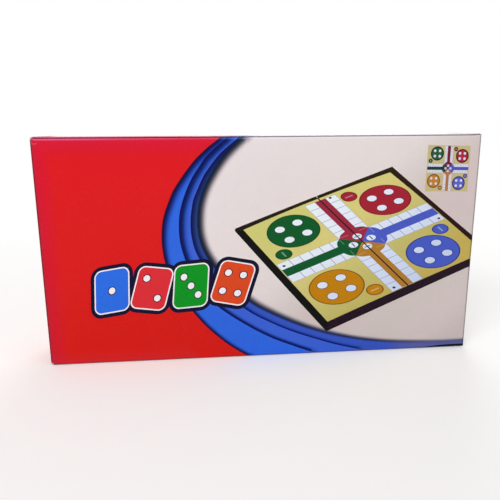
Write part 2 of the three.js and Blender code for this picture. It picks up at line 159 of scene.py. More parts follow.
def smooth_line(points, step=1.5):
    """A Catmull-Rom curve through the points, about one step between its own."""
    p = np.asarray(points, float)
    p = np.vstack((2 * p[0] - p[1], p, 2 * p[-1] - p[-2]))
    out = []
    for i in range(1, len(p) - 2):
        n = max(1, round(np.linalg.norm(p[i + 1] - p[i]) / step))
        for t in np.arange(n) / n:
            out.append(0.5 * (2 * p[i] + (p[i + 1] - p[i - 1]) * t
                              + (2 * p[i - 1] - 5 * p[i] + 4 * p[i + 1] - p[i + 2]) * t * t
                              + (3 * p[i] - p[i - 1] - 3 * p[i + 1] + p[i + 2]) * t ** 3))
    out.append(p[-2])
    return np.array(out)


def circle(x, y, radius, sides):
    a = np.arange(sides) / sides * 2 * math.pi
    return np.column_stack((x + radius * np.cos(a), y + radius * np.sin(a)))


def rounded(corners):
    """A closed outline whose corners (x, y, radius) are rounded."""
    out = []
    for i, (x, y, radius) in enumerate(corners):
        here = np.array((x, y), float)
        if radius == 0:
            out.append(here)
            continue
        sides = [np.array(corners[k][:2], float) - here for k in (i - 1, (i + 1) % len(corners))]
        back, on = (side / np.linalg.norm(side) for side in sides)
        half = math.acos(max(-1.0, min(1.0, back @ on))) / 2
        middle = here + (back + on) / np.linalg.norm(back + on) * radius / math.sin(half)
        start, end = (here + way * radius / math.tan(half) - middle for way in (back, on))
        turn = math.atan2(start[0] * end[1] - start[1] * end[0], start @ end)
        out += [middle + rotated(start, turn * k / CURVE_STEPS) for k in range(CURVE_STEPS + 1)]
    return np.array(out)


def inside(points, polygon):
    """Which points lie inside a closed polygon."""
    found = np.zeros(len(points), bool)
    near = ((points >= polygon.min(0)) & (points <= polygon.max(0))).all(1).nonzero()[0]
    if len(near) == 0:
        return found
    px, py = points[near, 0][:, None], points[near, 1][:, None]
    a, b = polygon, np.roll(polygon, -1, axis=0)
    crosses = (a[:, 1] > py) != (b[:, 1] > py)
    rise = np.where(b[:, 1] == a[:, 1], TINY, b[:, 1] - a[:, 1])
    at = a[:, 0] + (py - a[:, 1]) / rise * (b[:, 0] - a[:, 0])
    found[near] = (crosses & (px < at)).sum(1) % 2 == 1
    return found


def distance_along(points, line):
    """Each point's distance to a line and the share of the line's length where it is nearest."""
    a, d = line[:-1], np.diff(line, axis=0)
    length = np.linalg.norm(d, axis=1)
    start = np.concatenate(([0.0], np.cumsum(length)[:-1]))
    best, share = np.full(len(points), math.inf), np.zeros(len(points))
    for i in range(len(a)):
        rel = points - a[i]
        t = np.clip(rel @ d[i] / max(length[i] ** 2, TINY), 0, 1)
        gap = np.linalg.norm(rel - t[:, None] * d[i], axis=1)
        nearer = gap < best
        best[nearer] = gap[nearer]
        share[nearer] = (start[i] + t[nearer] * length[i]) / length.sum()
    return best, share


# The print: regions are painted in order, and the last that holds a point gives its colour.
# A region is (polygon, shade), where a shade turns points into linear colours.


def even(colour):
    return lambda points: np.tile(colour, (len(points), 1))


def plain(*rgb):
    return even(linear(*rgb))


def levels_at(value, places, levels):
    """The colour at each value, between the levels that stand at some places."""
    return np.column_stack([np.interp(value, places, levels[:, k]) for k in range(3)])


def graded(levels, places):
    """A shade that falls off across the front face, from its upper left to its lower right: partly the
    print's own tone and partly painted shade, the light being weaker toward the lower right.
    """
    return lambda points: levels_at(points[:, 0] - points[:, 1], places, levels)


SHEEN, LIGHT_LEVEL, LEAST_INK = 0.012, 0.93, 0.0005


def seen(*colours):
    """Inks, in linear colour, that show as these sRGB levels under the sheen and the light of the room."""
    return np.array([np.clip((linear(*c) - SHEEN) / LIGHT_LEVEL, LEAST_INK, 1) for c in colours])


RED_TOP, RED_BOTTOM = linear(227, 22, 31), linear(220, 25, 15)
# The pale ground falls off toward the lower right, partly as painted shade
PALE_PLACES = (-120, -60, -40, -20, 0, 25, 50, 90, 110)
PALE_GRADE = seen((232, 222, 223), (231, 221, 219), (230, 220, 219), (219, 209, 206), (212, 198, 195),
                  (213, 196, 196), (209, 198, 195), (209, 196, 195), (199, 187, 185))
COATED_WHITE = linear(225, 222, 216)
# A painted sheen along the left and upper edges, a bluer red there, whose band ends at its reach times its
# width
EDGE_BAND, EDGE_REACH = 8.0, 1.4
PAINTED_EDGE_SHEEN = np.array((-0.045, -0.003, 0.018))


def red_ground(points):
    # Red, a little lighter from the bottom to the top, with a painted sheen along the left and upper edges
    x, z = points.T
    edge = np.clip(EDGE_REACH - np.minimum(x + HALF_LENGTH, HEIGHT - z) / EDGE_BAND, 0, 1)
    return RED_BOTTOM + (RED_TOP - RED_BOTTOM) * rising(z, 0, HEIGHT)[:, None] + PAINTED_EDGE_SHEEN * edge[:, None]


pale_ground = graded(PALE_GRADE, PALE_PLACES)

# Edges of the three nested stripes, in pixels of the photograph, from the top to the bottom
STRIPE_EDGES = [
    [(219.6, 136.7), (207.2, 147.5), (192, 163), (175.2, 187), (168, 203), (163, 219), (161.5, 235),
     (162.6, 251), (167.5, 270), (180.5, 295), (190.5, 309), (203, 323), (212, 331.5), (224, 341.3),
     (236, 349.3), (247, 355.3)],
    [(226.2, 136.7), (207.3, 155), (201.3, 163), (191.2, 179), (184.5, 195), (180, 211), (178.8, 227),
     (180.2, 243), (184.8, 259), (189.7, 270), (196.8, 282), (206.5, 295), (221, 309), (248, 326),
     (272, 338), (296, 346.7), (310, 351.2)],
    [(238, 136.7), (218.8, 155), (206.6, 171), (202, 179), (195, 195), (192.5, 203), (190.6, 219),
     (191.3, 235), (195.4, 251), (204.3, 267), (219, 285.5), (229.5, 296), (248, 311), (272, 323.2),
     (296, 332.7), (332, 343.4), (357, 348.7)],
    [(241.2, 136.7), (224, 155), (213, 171), (204.6, 187), (199.5, 203), (197.8, 219), (198.9, 235),
     (204, 251), (214, 267), (230, 285), (241, 295), (250, 301.8), (260, 308), (284, 319), (308, 327.8),
     (332, 334.2), (356, 338.6), (380, 341.3), (404, 342.4), (440, 342.3), (471, 340.4)],
]
LINES = [smooth_line(on_front(pixels)) for pixels in STRIPE_EDGES]

# The tones across each stripe, and across the shadow on the pale ground after the last one, on their
# upper and on their lower stretch. A ramp's width and its tones change over along the line.
RAMP_SHARES = (0.0, 0.1, 0.2, 0.3, 0.45, 0.6, 0.8, 1.0)
WIDE_RAMP, NARROW_RAMP, NARROW_START, NARROW_LENGTH = 5.5, 3.0, 0.35, 0.35
LOW_START, LOW_LENGTH = 0.3, 0.35
OUTER_BAND = seen((48, 10, 38), (36, 22, 58), (29, 32, 84), (29, 40, 106), (39, 58, 143), (47, 82, 182),
                  (51, 101, 215), (56, 107, 226))
MIDDLE_BAND = seen((7, 20, 98), (10, 25, 95), (16, 32, 92), (20, 38, 98), (30, 54, 126), (45, 78, 175),
                   (60, 93, 203), (66, 102, 214))
INNER_BAND_TOP = seen((8, 26, 84), (10, 30, 84), (18, 38, 92), (26, 46, 102), (40, 58, 114), (50, 68, 124),
                      (50, 70, 126), (50, 70, 128))
INNER_BAND_LOW = seen((2, 16, 100), (8, 24, 110), (18, 40, 124), (30, 56, 142), (42, 72, 166), (52, 85, 188),
                      (58, 88, 192), (62, 90, 194))
SHADOW = seen((20, 36, 68), (29, 43, 62), (43, 51, 62), (64, 67, 74), (110, 103, 116), (165, 156, 166),
              (206, 199, 197), (232, 223, 220))
SHADOW_LOW = seen((38, 50, 97), (45, 54, 92), (55, 62, 90), (78, 80, 98), (118, 112, 124), (160, 151, 158),
                  (188, 180, 181), (200, 190, 189))
TONES = [(OUTER_BAND, OUTER_BAND), (MIDDLE_BAND, MIDDLE_BAND), (INNER_BAND_TOP, INNER_BAND_LOW),
         (SHADOW, SHADOW_LOW)]
INNER, LAST = 2, 3
SHADOW_BLEND, SHADOW_SPREAD = (0.7, 0.3), 1.1
# Toward the right the blue is greyer, the shadow beside it fainter, and the inner stripe less dark before
# the last line: each from an x over a length
GREYER_BLUE, GREYING, GREYER_LEAST = seen((92, 98, 164))[0], (74, 20), 0.2
FAINT_TONE, FAINT = seen((94, 91, 140))[0], (60, 40)
CALM, CALM_LEAST, CALM_RISE = (45, 45), 0.35, 0.5


def ramp_width(share):
    return WIDE_RAMP + (NARROW_RAMP - WIDE_RAMP) * rising(share, NARROW_START, NARROW_LENGTH)


def ramp(t, levels):
    return levels_at(t, RAMP_SHARES, levels)


def across_stripe(points, k):
    """How far across a line's ramp some points are, and the ramp's tones there."""
    gap, share = distance_along(points, LINES[k])
    t = rising(gap, 0, ramp_width(share))
    low = rising(share, LOW_START, LOW_LENGTH)[:, None]
    return t, ramp(t, TONES[k][0]) * (1 - low) + ramp(t, TONES[k][1]) * low


def stripe_shade(k):
    """A stripe's colour: dark beside its outer edge, bright at its inner one, and greyer toward the right."""
    def shade(points):
        t, blue = across_stripe(points, k)
        greying = rising(points[:, 0], *GREYING)[:, None]
        blue = blue + (GREYER_BLUE * (GREYER_LEAST + (1 - GREYER_LEAST) * t[:, None]) - blue) * greying
        if k == INNER:
            least = CALM_LEAST + CALM_RISE * rising(points[:, 0], *CALM)
            to_last = distance_along(points, LINES[LAST])[0] / SHADOW_SPREAD
            blue *= np.clip(least + (1 - least) * to_last, 0, 1)[:, None]
        return blue
    return shade


def pale_shadow(points):
    t, dark = across_stripe(points, LAST)
    dark = np.maximum(dark, FAINT_TONE * rising(points[:, 0], *FAINT)[:, None])
    blend = rising(t, *SHADOW_BLEND)[:, None]
    return dark * (1 - blend) + pale_ground(points) * blend


def shifted(line, distance_at):
    """A line moved to its right-hand side, as it is walked from the top, by a distance that may vary."""
    tangent = np.gradient(line, axis=0)
    tangent /= np.linalg.norm(tangent, axis=1)[:, None]
    normal = np.column_stack((-tangent[:, 1], tangent[:, 0]))
    length = np.concatenate(([0.0], np.cumsum(np.linalg.norm(np.diff(line, axis=0), axis=1))))
    return line + normal * distance_at(length / length[-1])[:, None]


FAR = 400.0


def right_of(line):
    """The region to the right of a line that runs from the top down, closed outside the panel."""
    first, last = line[0], line[-1]
    run_up = first + (first - line[1]) / np.linalg.norm(first - line[1]) * FAR
    run_down = last + (last - line[-2]) / np.linalg.norm(last - line[-2]) * FAR
    return np.vstack((run_up, line, run_down, (4 * FAR, run_down[1]), (4 * FAR, run_up[1])))


STRIPES = [(right_of(line), stripe_shade(k) if k < LAST else pale_shadow) for k, line in enumerate(LINES)]
# Lines along which the stripes' tones change, so that the mesh has vertices there
STRIPE_CUTS = [shifted(line, lambda t, s=s: s * ramp_width(t)) for line in LINES for s in RAMP_SHARES[1:]]
STRIPE_CUTS.append(shifted(LINES[LAST], lambda t: 0 * t - SHADOW_SPREAD))

# The pictured board. Its pattern has its own unit square: x runs from the left corner to the top one.
UNIT_SQUARE = np.array(((0, 0), (1, 0), (1, 1), (0, 1)), float)
PATTERN_CORNERS = [(243.6, 230.4), (392.3, 171.5), (484.7, 252.6), (328.3, 321.0)]
INSET_CORNERS = [(428.4, 144.8), (470.7, 145.7), (467.2, 191.4), (425.1, 191.4)]
# Corners of the field and of the frame round it, and how far each side after a corner bulges
FIELD_CORNERS = [(0.001, -0.004), (0.985, 0.0), (1.0, 0.996), (-0.006, 1.003)]
FIELD_BULGES = (0.0165, 0.0055, -0.004, 0)
FRAME_CORNERS = [(-0.044, -0.018), (-0.028, -0.044), (1.027, -0.045), (1.038, 1.051), (-0.050, 1.068)]
FRAME_BULGES = (0.004, 0.0045, -0.003, 0, 0.001)
FRAME_PLACES, FRAME_GRADE = (-95, -55, 45), seen((38, 34, 30), (49, 39, 28), (49, 31, 26))
# The frame's left and lower sides, mitred at the corners, are cooler than the other two
COOL_SIDES = [([FRAME_CORNERS[0], (0.01, 0.01), (0.01, 0.99), FRAME_CORNERS[4]], (24, 18, 28)),
              ([FRAME_CORNERS[4], (0.01, 0.99), (0.99, 0.99), FRAME_CORNERS[3]], (42, 31, 41))]
FOLD_LINE = ((0.5, -0.019, 0.5, 0.998, 0.004), (34, 6, 14))
HINGE_GLINT = ((0.503, -0.049, 0.501, -0.029, 0.0028), (196, 192, 198))
ARM_NEAR, ARM_FAR, ARM_NECK = 0.404, 0.596, 0.3597
COLUMN_HALF, PETAL_BULGE = 0.0345, 0.006
FIRST_CELL, CELLS = 0.014, 6
CELL_LINE, CELL_INK = 0.0019, (150, 146, 182)
HOME_RADIUS, TOKEN_RADIUS = 0.1535, 0.0485
DOT_PITCH, DOT_RADIUS = 0.0575, 0.0335
TOKEN_BAR, MARK_RADIUS, MARK_INK = 0.025, 0.009, (50, 46, 74)
TICK_X, TICK_Y, TICK_HALF, TICK_PALE = (0.402, 0.4), (0.037, 0.085), 0.0017, 225
TIP_PLACE, TIP_RADIUS, TIP_INK = 0.442, 0.0268, (72, 78, 112)
TIP_BAR, TIP_BAR_HALF = (0.481, 0.519), 0.0034
FLARE_STEP = 0.01
# How many sides the pictured circles have
HOME_SIDES, TOKEN_SIDES, DOT_SIDES, MARK_SIDES, PIP_SIDES = 56, 32, 24, 12, 28
# Where the home, the token, the mark and the arm's end lie in a quarter: drawn evenly, and as pictured
EVEN_QUARTER = ((0.2265, 0.1815), (0.0805, 0.339), (0.033, 0.4348), 0.014)
PICTURED_QUARTERS = [((0.2293, 0.1827), (0.0815, 0.3423), (0.032, 0.4385), 0.004),
                     ((0.2293, 0.1851), (0.0818, 0.3424), (0.0324, 0.4409), 0.021),
                     ((0.2266, 0.1808), (0.0798, 0.3346), (0.0312, 0.4263), 0.0075),
                     ((0.2262, 0.1793), (0.081, 0.3352), (0.0345, 0.4288), 0.009)]
# The inks of each quarter's home, of its rim and of its column
QUARTER_COLOURS = [((0, 89, 38), (0, 62, 28), (0, 88, 42)), ((167, 32, 51), (116, 8, 32), (158, 40, 64)),
                   ((72, 93, 199), (40, 48, 136), (75, 92, 199)),
                   ((198, 131, 0), (128, 82, 18), (179, 125, 45))]
INSET_COLOURS = [((28, 92, 62), (30, 46, 28), (18, 60, 58)), ((178, 36, 68), (88, 14, 36), (116, 16, 60)),
                 ((94, 102, 206), (54, 50, 130), (80, 86, 186)),
                 ((198, 130, 34), (142, 90, 36), (178, 116, 74))]
BOW_PLACES = (0, 0.15, 0.35, 0.5, 0.65, 0.82, 1)
BOW = (0.006, 0.0125, 0.0195, 0.0205, 0.0185, 0.006, 0)
BOW_REACH, ARM_SPREAD, ARM_ZONE = 0.3, 0.05, 0.11
GRADE_PLACES = (-75, -30, 10, 50)
FIELD_GRADE = seen((209, 205, 123), (217, 205, 129), (197, 189, 114), (194, 173, 92))
PAPER_GRADE = seen((234, 242, 255), (230, 237, 255), (213, 224, 247), (198, 211, 238))
INSET_FIELD, INSET_PAPER = seen((197, 184, 134))[0], seen((218, 214, 226))[0]


def bowed(points):
    """The pictured board's upper left side bulges a little, and its arm widens toward that side."""
    x, y = np.asarray(points, float).T
    fade = np.clip(1 - y / BOW_REACH, 0, None) ** 2
    spread = np.where(np.abs(x - 0.5) < ARM_ZONE, ARM_SPREAD * (x - 0.5), 0)
    return np.column_stack((x + spread * fade, y - np.interp(x, BOW_PLACES, BOW) * fade))


def onto_front(corners, regions):
    """Regions of the unit square where they lie on the front face, its corners being at four pixels."""
    rows, values = [], []
    for (x, y), (u, v) in zip(UNIT_SQUARE, corners):
        rows += [[x, y, 1, 0, 0, 0, -u * x, -u * y], [0, 0, 0, x, y, 1, -v * x, -v * y]]
        values += [u, v]
    view = np.append(np.linalg.solve(np.array(rows), np.array(values)), 1).reshape(3, 3)
    out = []
    for shape, shade in regions:
        q = np.column_stack((shape, np.ones(len(shape)))) @ view.T
        out.append((on_front(q[:, :2] / q[:, 2:]), shade))
    return out


def strip(x0, y0, x1, y1, half):
    """A thin straight line as a polygon."""
    a, b = np.array((x0, y0), float), np.array((x1, y1), float)
    t = (b - a) / np.linalg.norm(b - a) * half
    n = np.array((-t[1], t[0]))
    return np.array((a - n, b - n, b + n, a + n))


def turned(points, quarter):
    """Points of the unit square, a number of quarter turns about its middle."""
    p = np.asarray(points, float)
    for _ in range(quarter):
        p = np.column_stack((1 - p[:, 1], p[:, 0]))
    return p


def board_pattern(colours, white, quarters, rim_width, dot_rim, bar_half):
    """The traditional cross-and-circle board without its field and frame, as regions of the unit square."""
    low, high = 0.5 - COLUMN_HALF, 0.5 + COLUMN_HALF
    line = plain(*CELL_INK)
    cell = (ARM_NEAR - FIRST_CELL) / CELLS
    bulge = [(start + ARM_NEAR) / 2 - PETAL_BULGE for start in (ARM_NECK, low)]
    flare = smooth_line([(ARM_NECK, low), bulge, (ARM_NEAR, ARM_NEAR)], FLARE_STEP)
    mirrored = np.column_stack((flare[:, 0], 1 - flare[:, 1]))[::-1]
    out = []

    def put(shape, shade):
        out.append((turned(shape, q), shade))

    def ringed(place, radius, width, sides, rim, fill):
        put(circle(*place, radius, sides), rim)
        put(circle(*place, radius - width, sides), fill)

    for q, (_, _, _, end) in enumerate(quarters):
        arm = np.array(((end, ARM_NEAR), (ARM_NEAR, ARM_NEAR), (ARM_NEAR, ARM_FAR), (end, ARM_FAR)))
        put(arm + CELL_LINE * np.array(((-1, -1), (0, -1), (0, 1), (-1, 1))), line)
        put(arm, white)
        for k in range(1, CELLS):
            x = FIRST_CELL + k * cell
            for start, stop in ((ARM_NEAR, low), (high, ARM_FAR)):
                put(strip(x, start, x, stop, CELL_LINE), line)
    for q, ((fill, edge, column), (home, token, mark, end)) in enumerate(zip(colours, quarters)):
        shade, rim, tick = plain(*fill), plain(*edge), plain(*((c + TICK_PALE) / 2 for c in fill))
        put(np.vstack(((end, low), flare, (0.5, 0.5), mirrored, (end, high))), plain(*column))
        for sign in (-1, 1):
            y0, y1 = (0.5 + sign * y for y in TICK_Y)
            put(strip(TICK_X[0], y0, TICK_X[1], y1, TICK_HALF), tick)
        ringed(home, HOME_RADIUS, rim_width, HOME_SIDES, rim, shade)
        for dx in (-DOT_PITCH, DOT_PITCH):
            for dy in (-DOT_PITCH, DOT_PITCH):
                ringed((home[0] + dx, home[1] + dy), DOT_RADIUS, dot_rim, DOT_SIDES, rim, white)
        ringed(token, TOKEN_RADIUS, rim_width, TOKEN_SIDES, rim, shade)
        put(strip(token[0], token[1] - TOKEN_BAR, token[0], token[1] + TOKEN_BAR, bar_half), tick)
        put(circle(TIP_PLACE, 0.5, TIP_RADIUS, DOT_SIDES), white)
        put(strip(TIP_PLACE, TIP_BAR[0], TIP_PLACE, TIP_BAR[1], TIP_BAR_HALF), plain(*TIP_INK))
        put(circle(*mark, MARK_RADIUS, MARK_SIDES), plain(*MARK_INK))
    return out


def bulged(corners, bulges):
    """A closed outline whose sides, one after each corner, bow out to a depth at their middle."""
    out = []
    for i, depth in enumerate(bulges):
        a, b = np.array(corners[i]), np.array(corners[(i + 1) % len(corners)])
        along = b - a
        outward = np.array((along[1], -along[0])) / np.linalg.norm(along)
        for t in np.arange(CURVE_STEPS) / CURVE_STEPS:
            out.append(a + along * t + outward * depth * 4 * t * (1 - t))
    return np.array(out)


def pictured_board():
    pattern = board_pattern(QUARTER_COLOURS, graded(PAPER_GRADE, GRADE_PLACES), PICTURED_QUARTERS,
                            rim_width=0.007, dot_rim=0.005, bar_half=0.005)
    return onto_front(PATTERN_CORNERS, [
        (bulged(FRAME_CORNERS, FRAME_BULGES), graded(FRAME_GRADE, FRAME_PLACES)),
        *((side, even(seen(ink)[0])) for side, ink in COOL_SIDES),
        (bulged(FIELD_CORNERS, FIELD_BULGES), graded(FIELD_GRADE, GRADE_PLACES)),
        *((bowed(shape), shade) for shape, shade in pattern),
        *((strip(*line), plain(*ink)) for line, ink in (FOLD_LINE, HINGE_GLINT))])


def pictured_inset():
    pattern = board_pattern(INSET_COLOURS, even(INSET_PAPER), [EVEN_QUARTER] * 4,
                            rim_width=0.03, dot_rim=0.003, bar_half=0.011)
    return onto_front(INSET_CORNERS, [(UNIT_SQUARE, even(INSET_FIELD)), *pattern])


# Four plain dice in a row, each with its place and turn, its value and its colour (pixels, degrees)
DICE = [((112, 291), -10, 1, (44, 112, 236)), ((152, 288.5), 5, 2, (226, 46, 56)),
        ((191, 286), -6, 3, (0, 152, 32)), ((233, 283), 9, 4, (226, 74, 32))]
DIE_HALF_WIDTH, DIE_HALF_HEIGHT, DIE_CORNER, DIE_SLANT = 16.5, 20.5, 6.0, 0.16
DIE_BORDER, DIE_LINE = 5.0, 1.3
PIPS = {1: [(0, 0)], 2: [(-1, -1), (1, 1)], 3: [(-1, -1), (0, 0), (1, 1)],
        4: [(-1, -1), (1, -1), (-1, 1), (1, 1)]}
PIP_PITCH, PIP_BORDER_RADIUS, PIP_RADIUS = (7.6, 9.4), 4.2, 3.3
NAVY, PURE_WHITE = plain(8, 4, 44), plain(252, 246, 250)


def pictured_dice():
    out = []

    def put(shape, place, turn, shade):
        x, y = shape.T
        slanted = np.column_stack((x - DIE_SLANT * y, y))
        out.append((on_front(rotated(slanted, math.radians(turn)) + np.array(place)), shade))

    def put_outline(place, turn, grow, shade):
        w, h, r = (size + grow for size in (DIE_HALF_WIDTH, DIE_HALF_HEIGHT, DIE_CORNER))
        put(rounded([(-w, -h, r), (w, -h, r), (w, h, r), (-w, h, r)]), place, turn, shade)

    for place, turn, _, _ in DICE:
        put_outline(place, turn, DIE_BORDER, NAVY)
    for place, turn, value, rgb in DICE:
        put_outline(place, turn, DIE_LINE, PURE_WHITE)
        put_outline(place, turn, 0, plain(*rgb))
        for column, row in PIPS[value]:
            for radius, shade in ((PIP_BORDER_RADIUS, NAVY), (PIP_RADIUS, PURE_WHITE)):
                pip = circle(column * PIP_PITCH[0], row * PIP_PITCH[1], radius, PIP_SIDES)
                put(pip, place, turn, shade)
    return out


class Print(list):
    """Regions over a base shade, and painted light and shade along the folds, laid on last."""

    def __init__(self, regions, base, touch=None):
        super().__init__(regions)
        self.base, self.touch = base, touch

    def paint(self, points, seats):
        """The colours at some points; the seats say in which region each point counts."""
        owner = np.full(len(points), -1)
        for k, (polygon, _) in enumerate(self):
            owner[inside(seats, polygon)] = k
        colours = np.zeros((len(points), 3))
        for k in np.unique(owner):
            mine = owner == k
            colours[mine] = (self[k][1] if k >= 0 else self.base)(points[mine])
        return colours if self.touch is None else self.touch(points, colours)


# Paperboard pieces

GEOMETRY_TOLERANCE, LEAST_AREA = 1e-4, 1e-9
NORMAL_STEP = 0.02
CORE_TONE = linear(190, 184, 174)


def grid_points(outline, pitch):
    """The points of a grid that lie inside an outline."""
    low, high = outline.min(0), outline.max(0)
    xs, ys = (np.linspace(a, b, max(2, round((b - a) / pitch) + 1))[1:-1] for a, b in zip(low, high))
    points = np.array([(x, y) for x in xs for y in ys]).reshape(-1, 2)
    return points[inside(points, outline)]


def triangulate(outline, lines, loops, points):
    """Triangles inside a closed outline that keep every line and loop as edges."""
    verts, edges = [], []
    for chain, closed in [(outline, True), *((c, False) for c in lines), *((c, True) for c in loops)]:
        first, n = len(verts), len(chain)
        verts.extend(Vector(p) for p in chain)
        edges.extend((first + i, first + i + 1) for i in range(n - 1))
        if closed:
            edges.append((first + n - 1, first))
    verts.extend(Vector(p) for p in points)
    co, _, faces, _, _, _ = delaunay_2d_cdt(verts, edges, [], 0, GEOMETRY_TOLERANCE, False)
    co = np.array([(v.x, v.y) for v in co])
    tri = np.array([f for f in faces if len(f) == 3])
    tri = tri[inside(co[tri].mean(1), outline)]
    a, b, c = (co[tri[:, k]] for k in range(3))
    area = (b[:, 0] - a[:, 0]) * (c[:, 1] - a[:, 1]) - (b[:, 1] - a[:, 1]) * (c[:, 0] - a[:, 0])
    tri[area < 0] = tri[area < 0][:, ::-1]
    tri = tri[np.abs(area) > LEAST_AREA]
    used, index = np.unique(tri, return_inverse=True)
    return co[used], index.reshape(tri.shape)


def boundary(tri):
    """The vertices round the outside, in order."""
    directed = {(int(f[i]), int(f[(i + 1) % 3])) for f in tri for i in range(3)}
    following = {a: b for a, b in directed if (b, a) not in directed}
    start = min(following)
    loop, here = [start], following[start]
    while here != start:
        loop.append(here)
        here = following[here]
    return loop


def attach(mesh, name, kind, domain, values):
    """A mesh attribute with a value for each corner or point."""
    field = "color" if kind == "FLOAT_COLOR" else "value"
    mesh.attributes.new(name, kind, domain).data.foreach_set(field, np.ravel(values))


def board_piece(name, body, node, outline, place, ink, lines, folds, pitch, wear):
    """A sheet of board: its printed face cut along every outline of the print, its bare face and its cut
    edge. place(points, depth) gives the points in mm of the frame at a depth below the printed face."""
    low, high = outline.min(0), outline.max(0)
    near = [shape for shape, _ in ink if (shape.max(0) > low).all() and (shape.min(0) < high).all()]
    co, tri = triangulate(outline, list(lines) + list(folds), near, grid_points(outline, pitch))
    ring = np.array(boundary(tri))
    back_co, back_tri = triangulate(co[ring], folds, [], grid_points(outline, pitch * 2))
    match = np.array([np.argmin(((back_co - p) ** 2).sum(1)) for p in co[ring]])

    n = len(co)
    verts = np.vstack((place(co, 0.0), place(back_co, BOARD))) * MM
    back_tri = back_tri[:, ::-1]
    quads = np.column_stack((np.roll(ring, -1), ring, n + match, n + np.roll(match, -1)))
    faces = [*tri.tolist(), *(n + back_tri).tolist(), *quads.tolist()]
    mesh = bpy.data.meshes.new(name)
    mesh.from_pydata(verts.tolist(), [], faces)
    mesh.validate()
    mesh.materials.append(LAMINATE)
    mesh.materials.append(GREYBOARD)
    mesh.polygons.foreach_set("material_index", [0] * len(tri) + [1] * (len(faces) - len(tri)))
    mesh.polygons.foreach_set("use_smooth", [True] * len(faces))

    colours = np.ones((len(mesh.loops), 4))
    colours[:, :3] = CORE_TONE
    colours[:tri.size, :3] = ink.paint(co[tri].reshape(-1, 2), np.repeat(co[tri].mean(1), 3, axis=0))
    attach(mesh, "print", "FLOAT_COLOR", "CORNER", colours)
    attach(mesh, "wear", "FLOAT", "POINT", np.concatenate((wear(co), np.zeros(len(back_co)))))

    def normals(points, depth, sign):
        dx, dy = (place(points + step, depth) - place(points - step, depth)
                  for step in ((NORMAL_STEP, 0), (0, NORMAL_STEP)))
        out = np.cross(dx, dy)
        return sign * out / np.linalg.norm(out, axis=1)[:, None]

    # The winding decides which way is out
    a, b, c = verts[tri[0]]
    way = np.sign(np.cross(b - a, c - a) @ normals(co, 0.0, 1)[tri[0][0]])
    a, b, c, d = (verts[quads[:, k]] for k in range(4))
    side = np.cross(c - a, d - b)
    side /= np.maximum(np.linalg.norm(side, axis=1), TINY)[:, None]
    mesh.normals_split_custom_set(np.vstack((normals(co, 0.0, way)[tri.ravel()],
                                             normals(back_co, BOARD, -way)[back_tri.ravel()],
                                             np.repeat(side, 4, axis=0))).tolist())
    piece = add_object(name, mesh)
    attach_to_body(piece, body)
    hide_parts(node)


# Materials: noise scales are per metre, and a bump has a strength and a depth in metres

NOISE_RANGE = (0.3, 0.7)
FINE_DEPTH, THIN_DEPTH, CELL_DEPTH = 0.0002, 0.0001, 0.0005


class Nodes:
    """A small helper that makes the nodes of a material or a world and links them."""

    def __init__(self, owner):
        owner.use_nodes = True
        self.owner, self.tree = owner, owner.node_tree
        self.tree.nodes.clear()

    def new(self, kind, **values):
        node = self.tree.nodes.new(kind)
        for key, value in values.items():
            setattr(node, key, value)
        return node

    def link(self, a, b):
        self.tree.links.new(a, b)

    def put(self, socket, value):
        if isinstance(value, bpy.types.NodeSocket):
            self.link(value, socket)
        elif socket.type == "RGBA":
            socket.default_value = (*value, 1.0)
        else:
            socket.default_value = value

    def fill(self, node, **values):
        """Gives some inputs of a node their value or their link."""
        for key, value in values.items():
            self.put(node.inputs[key.replace("_", " ")], value)
        return node.outputs[0]

    def coordinates(self):
        return self.new("ShaderNodeTexCoord").outputs["Object"]

    def noise(self, scale, detail=2.0, rough=0.5, stretch=(1, 1, 1)):
        where = self.fill(self.new("ShaderNodeMapping"), Vector=self.coordinates(), Scale=stretch)
        node = self.new("ShaderNodeTexNoise")
        self.fill(node, Vector=where, Scale=scale, Detail=detail, Roughness=rough)
        return node.outputs["Fac"]

    def math(self, operation, a, b=0.0, clamp=False):
        node = self.new("ShaderNodeMath", operation=operation, use_clamp=clamp)
        self.put(node.inputs[0], a)
        self.put(node.inputs[1], b)
        return node.outputs[0]

    def span(self, value, low, high, to_low=0.0, to_high=1.0):
        return self.fill(self.new("ShaderNodeMapRange"), Value=value, From_Min=low, From_Max=high,
                         To_Min=to_low, To_Max=to_high)

    def spread(self, value, to_low=0.0, to_high=1.0):
        """A noise with the middle of its range spread over another range."""
        return self.span(value, *NOISE_RANGE, to_low, to_high)

    def mix(self, share, a, b, blend="MIX"):
        node = self.new("ShaderNodeMix", data_type="RGBA", blend_type=blend)
        self.put(node.inputs["Factor"], share)
        self.put(node.inputs[6], a)
        self.put(node.inputs[7], b)
        return node.outputs[2]

    def attribute(self, name, output):
        return self.new("ShaderNodeAttribute", attribute_name=name).outputs[output]

    def bump(self, height, strength, distance=FINE_DEPTH, **before):
        return self.fill(self.new("ShaderNodeBump"), Height=height, Strength=strength, Distance=distance,
                         **before)

    def rays(self, *kinds):
        """1 for rays of some kinds and 0 for all others."""
        path = self.new("ShaderNodeLightPath").outputs
        share = path[f"Is {kinds[0]} Ray"]
        for kind in kinds[1:]:
            share = self.math("MAXIMUM", share, path[f"Is {kind} Ray"])
        return share

    def set(self, **values):
        self.fill(self.shader, **values)
        return self.owner


def surface(name):
    """The nodes of a new material, with its shader."""
    n = Nodes(bpy.data.materials.new(name))
    n.output = n.new("ShaderNodeOutputMaterial").inputs["Surface"]
    n.shader = n.new("ShaderNodeBsdfPrincipled")
    n.link(n.shader.outputs[0], n.output)
    return n


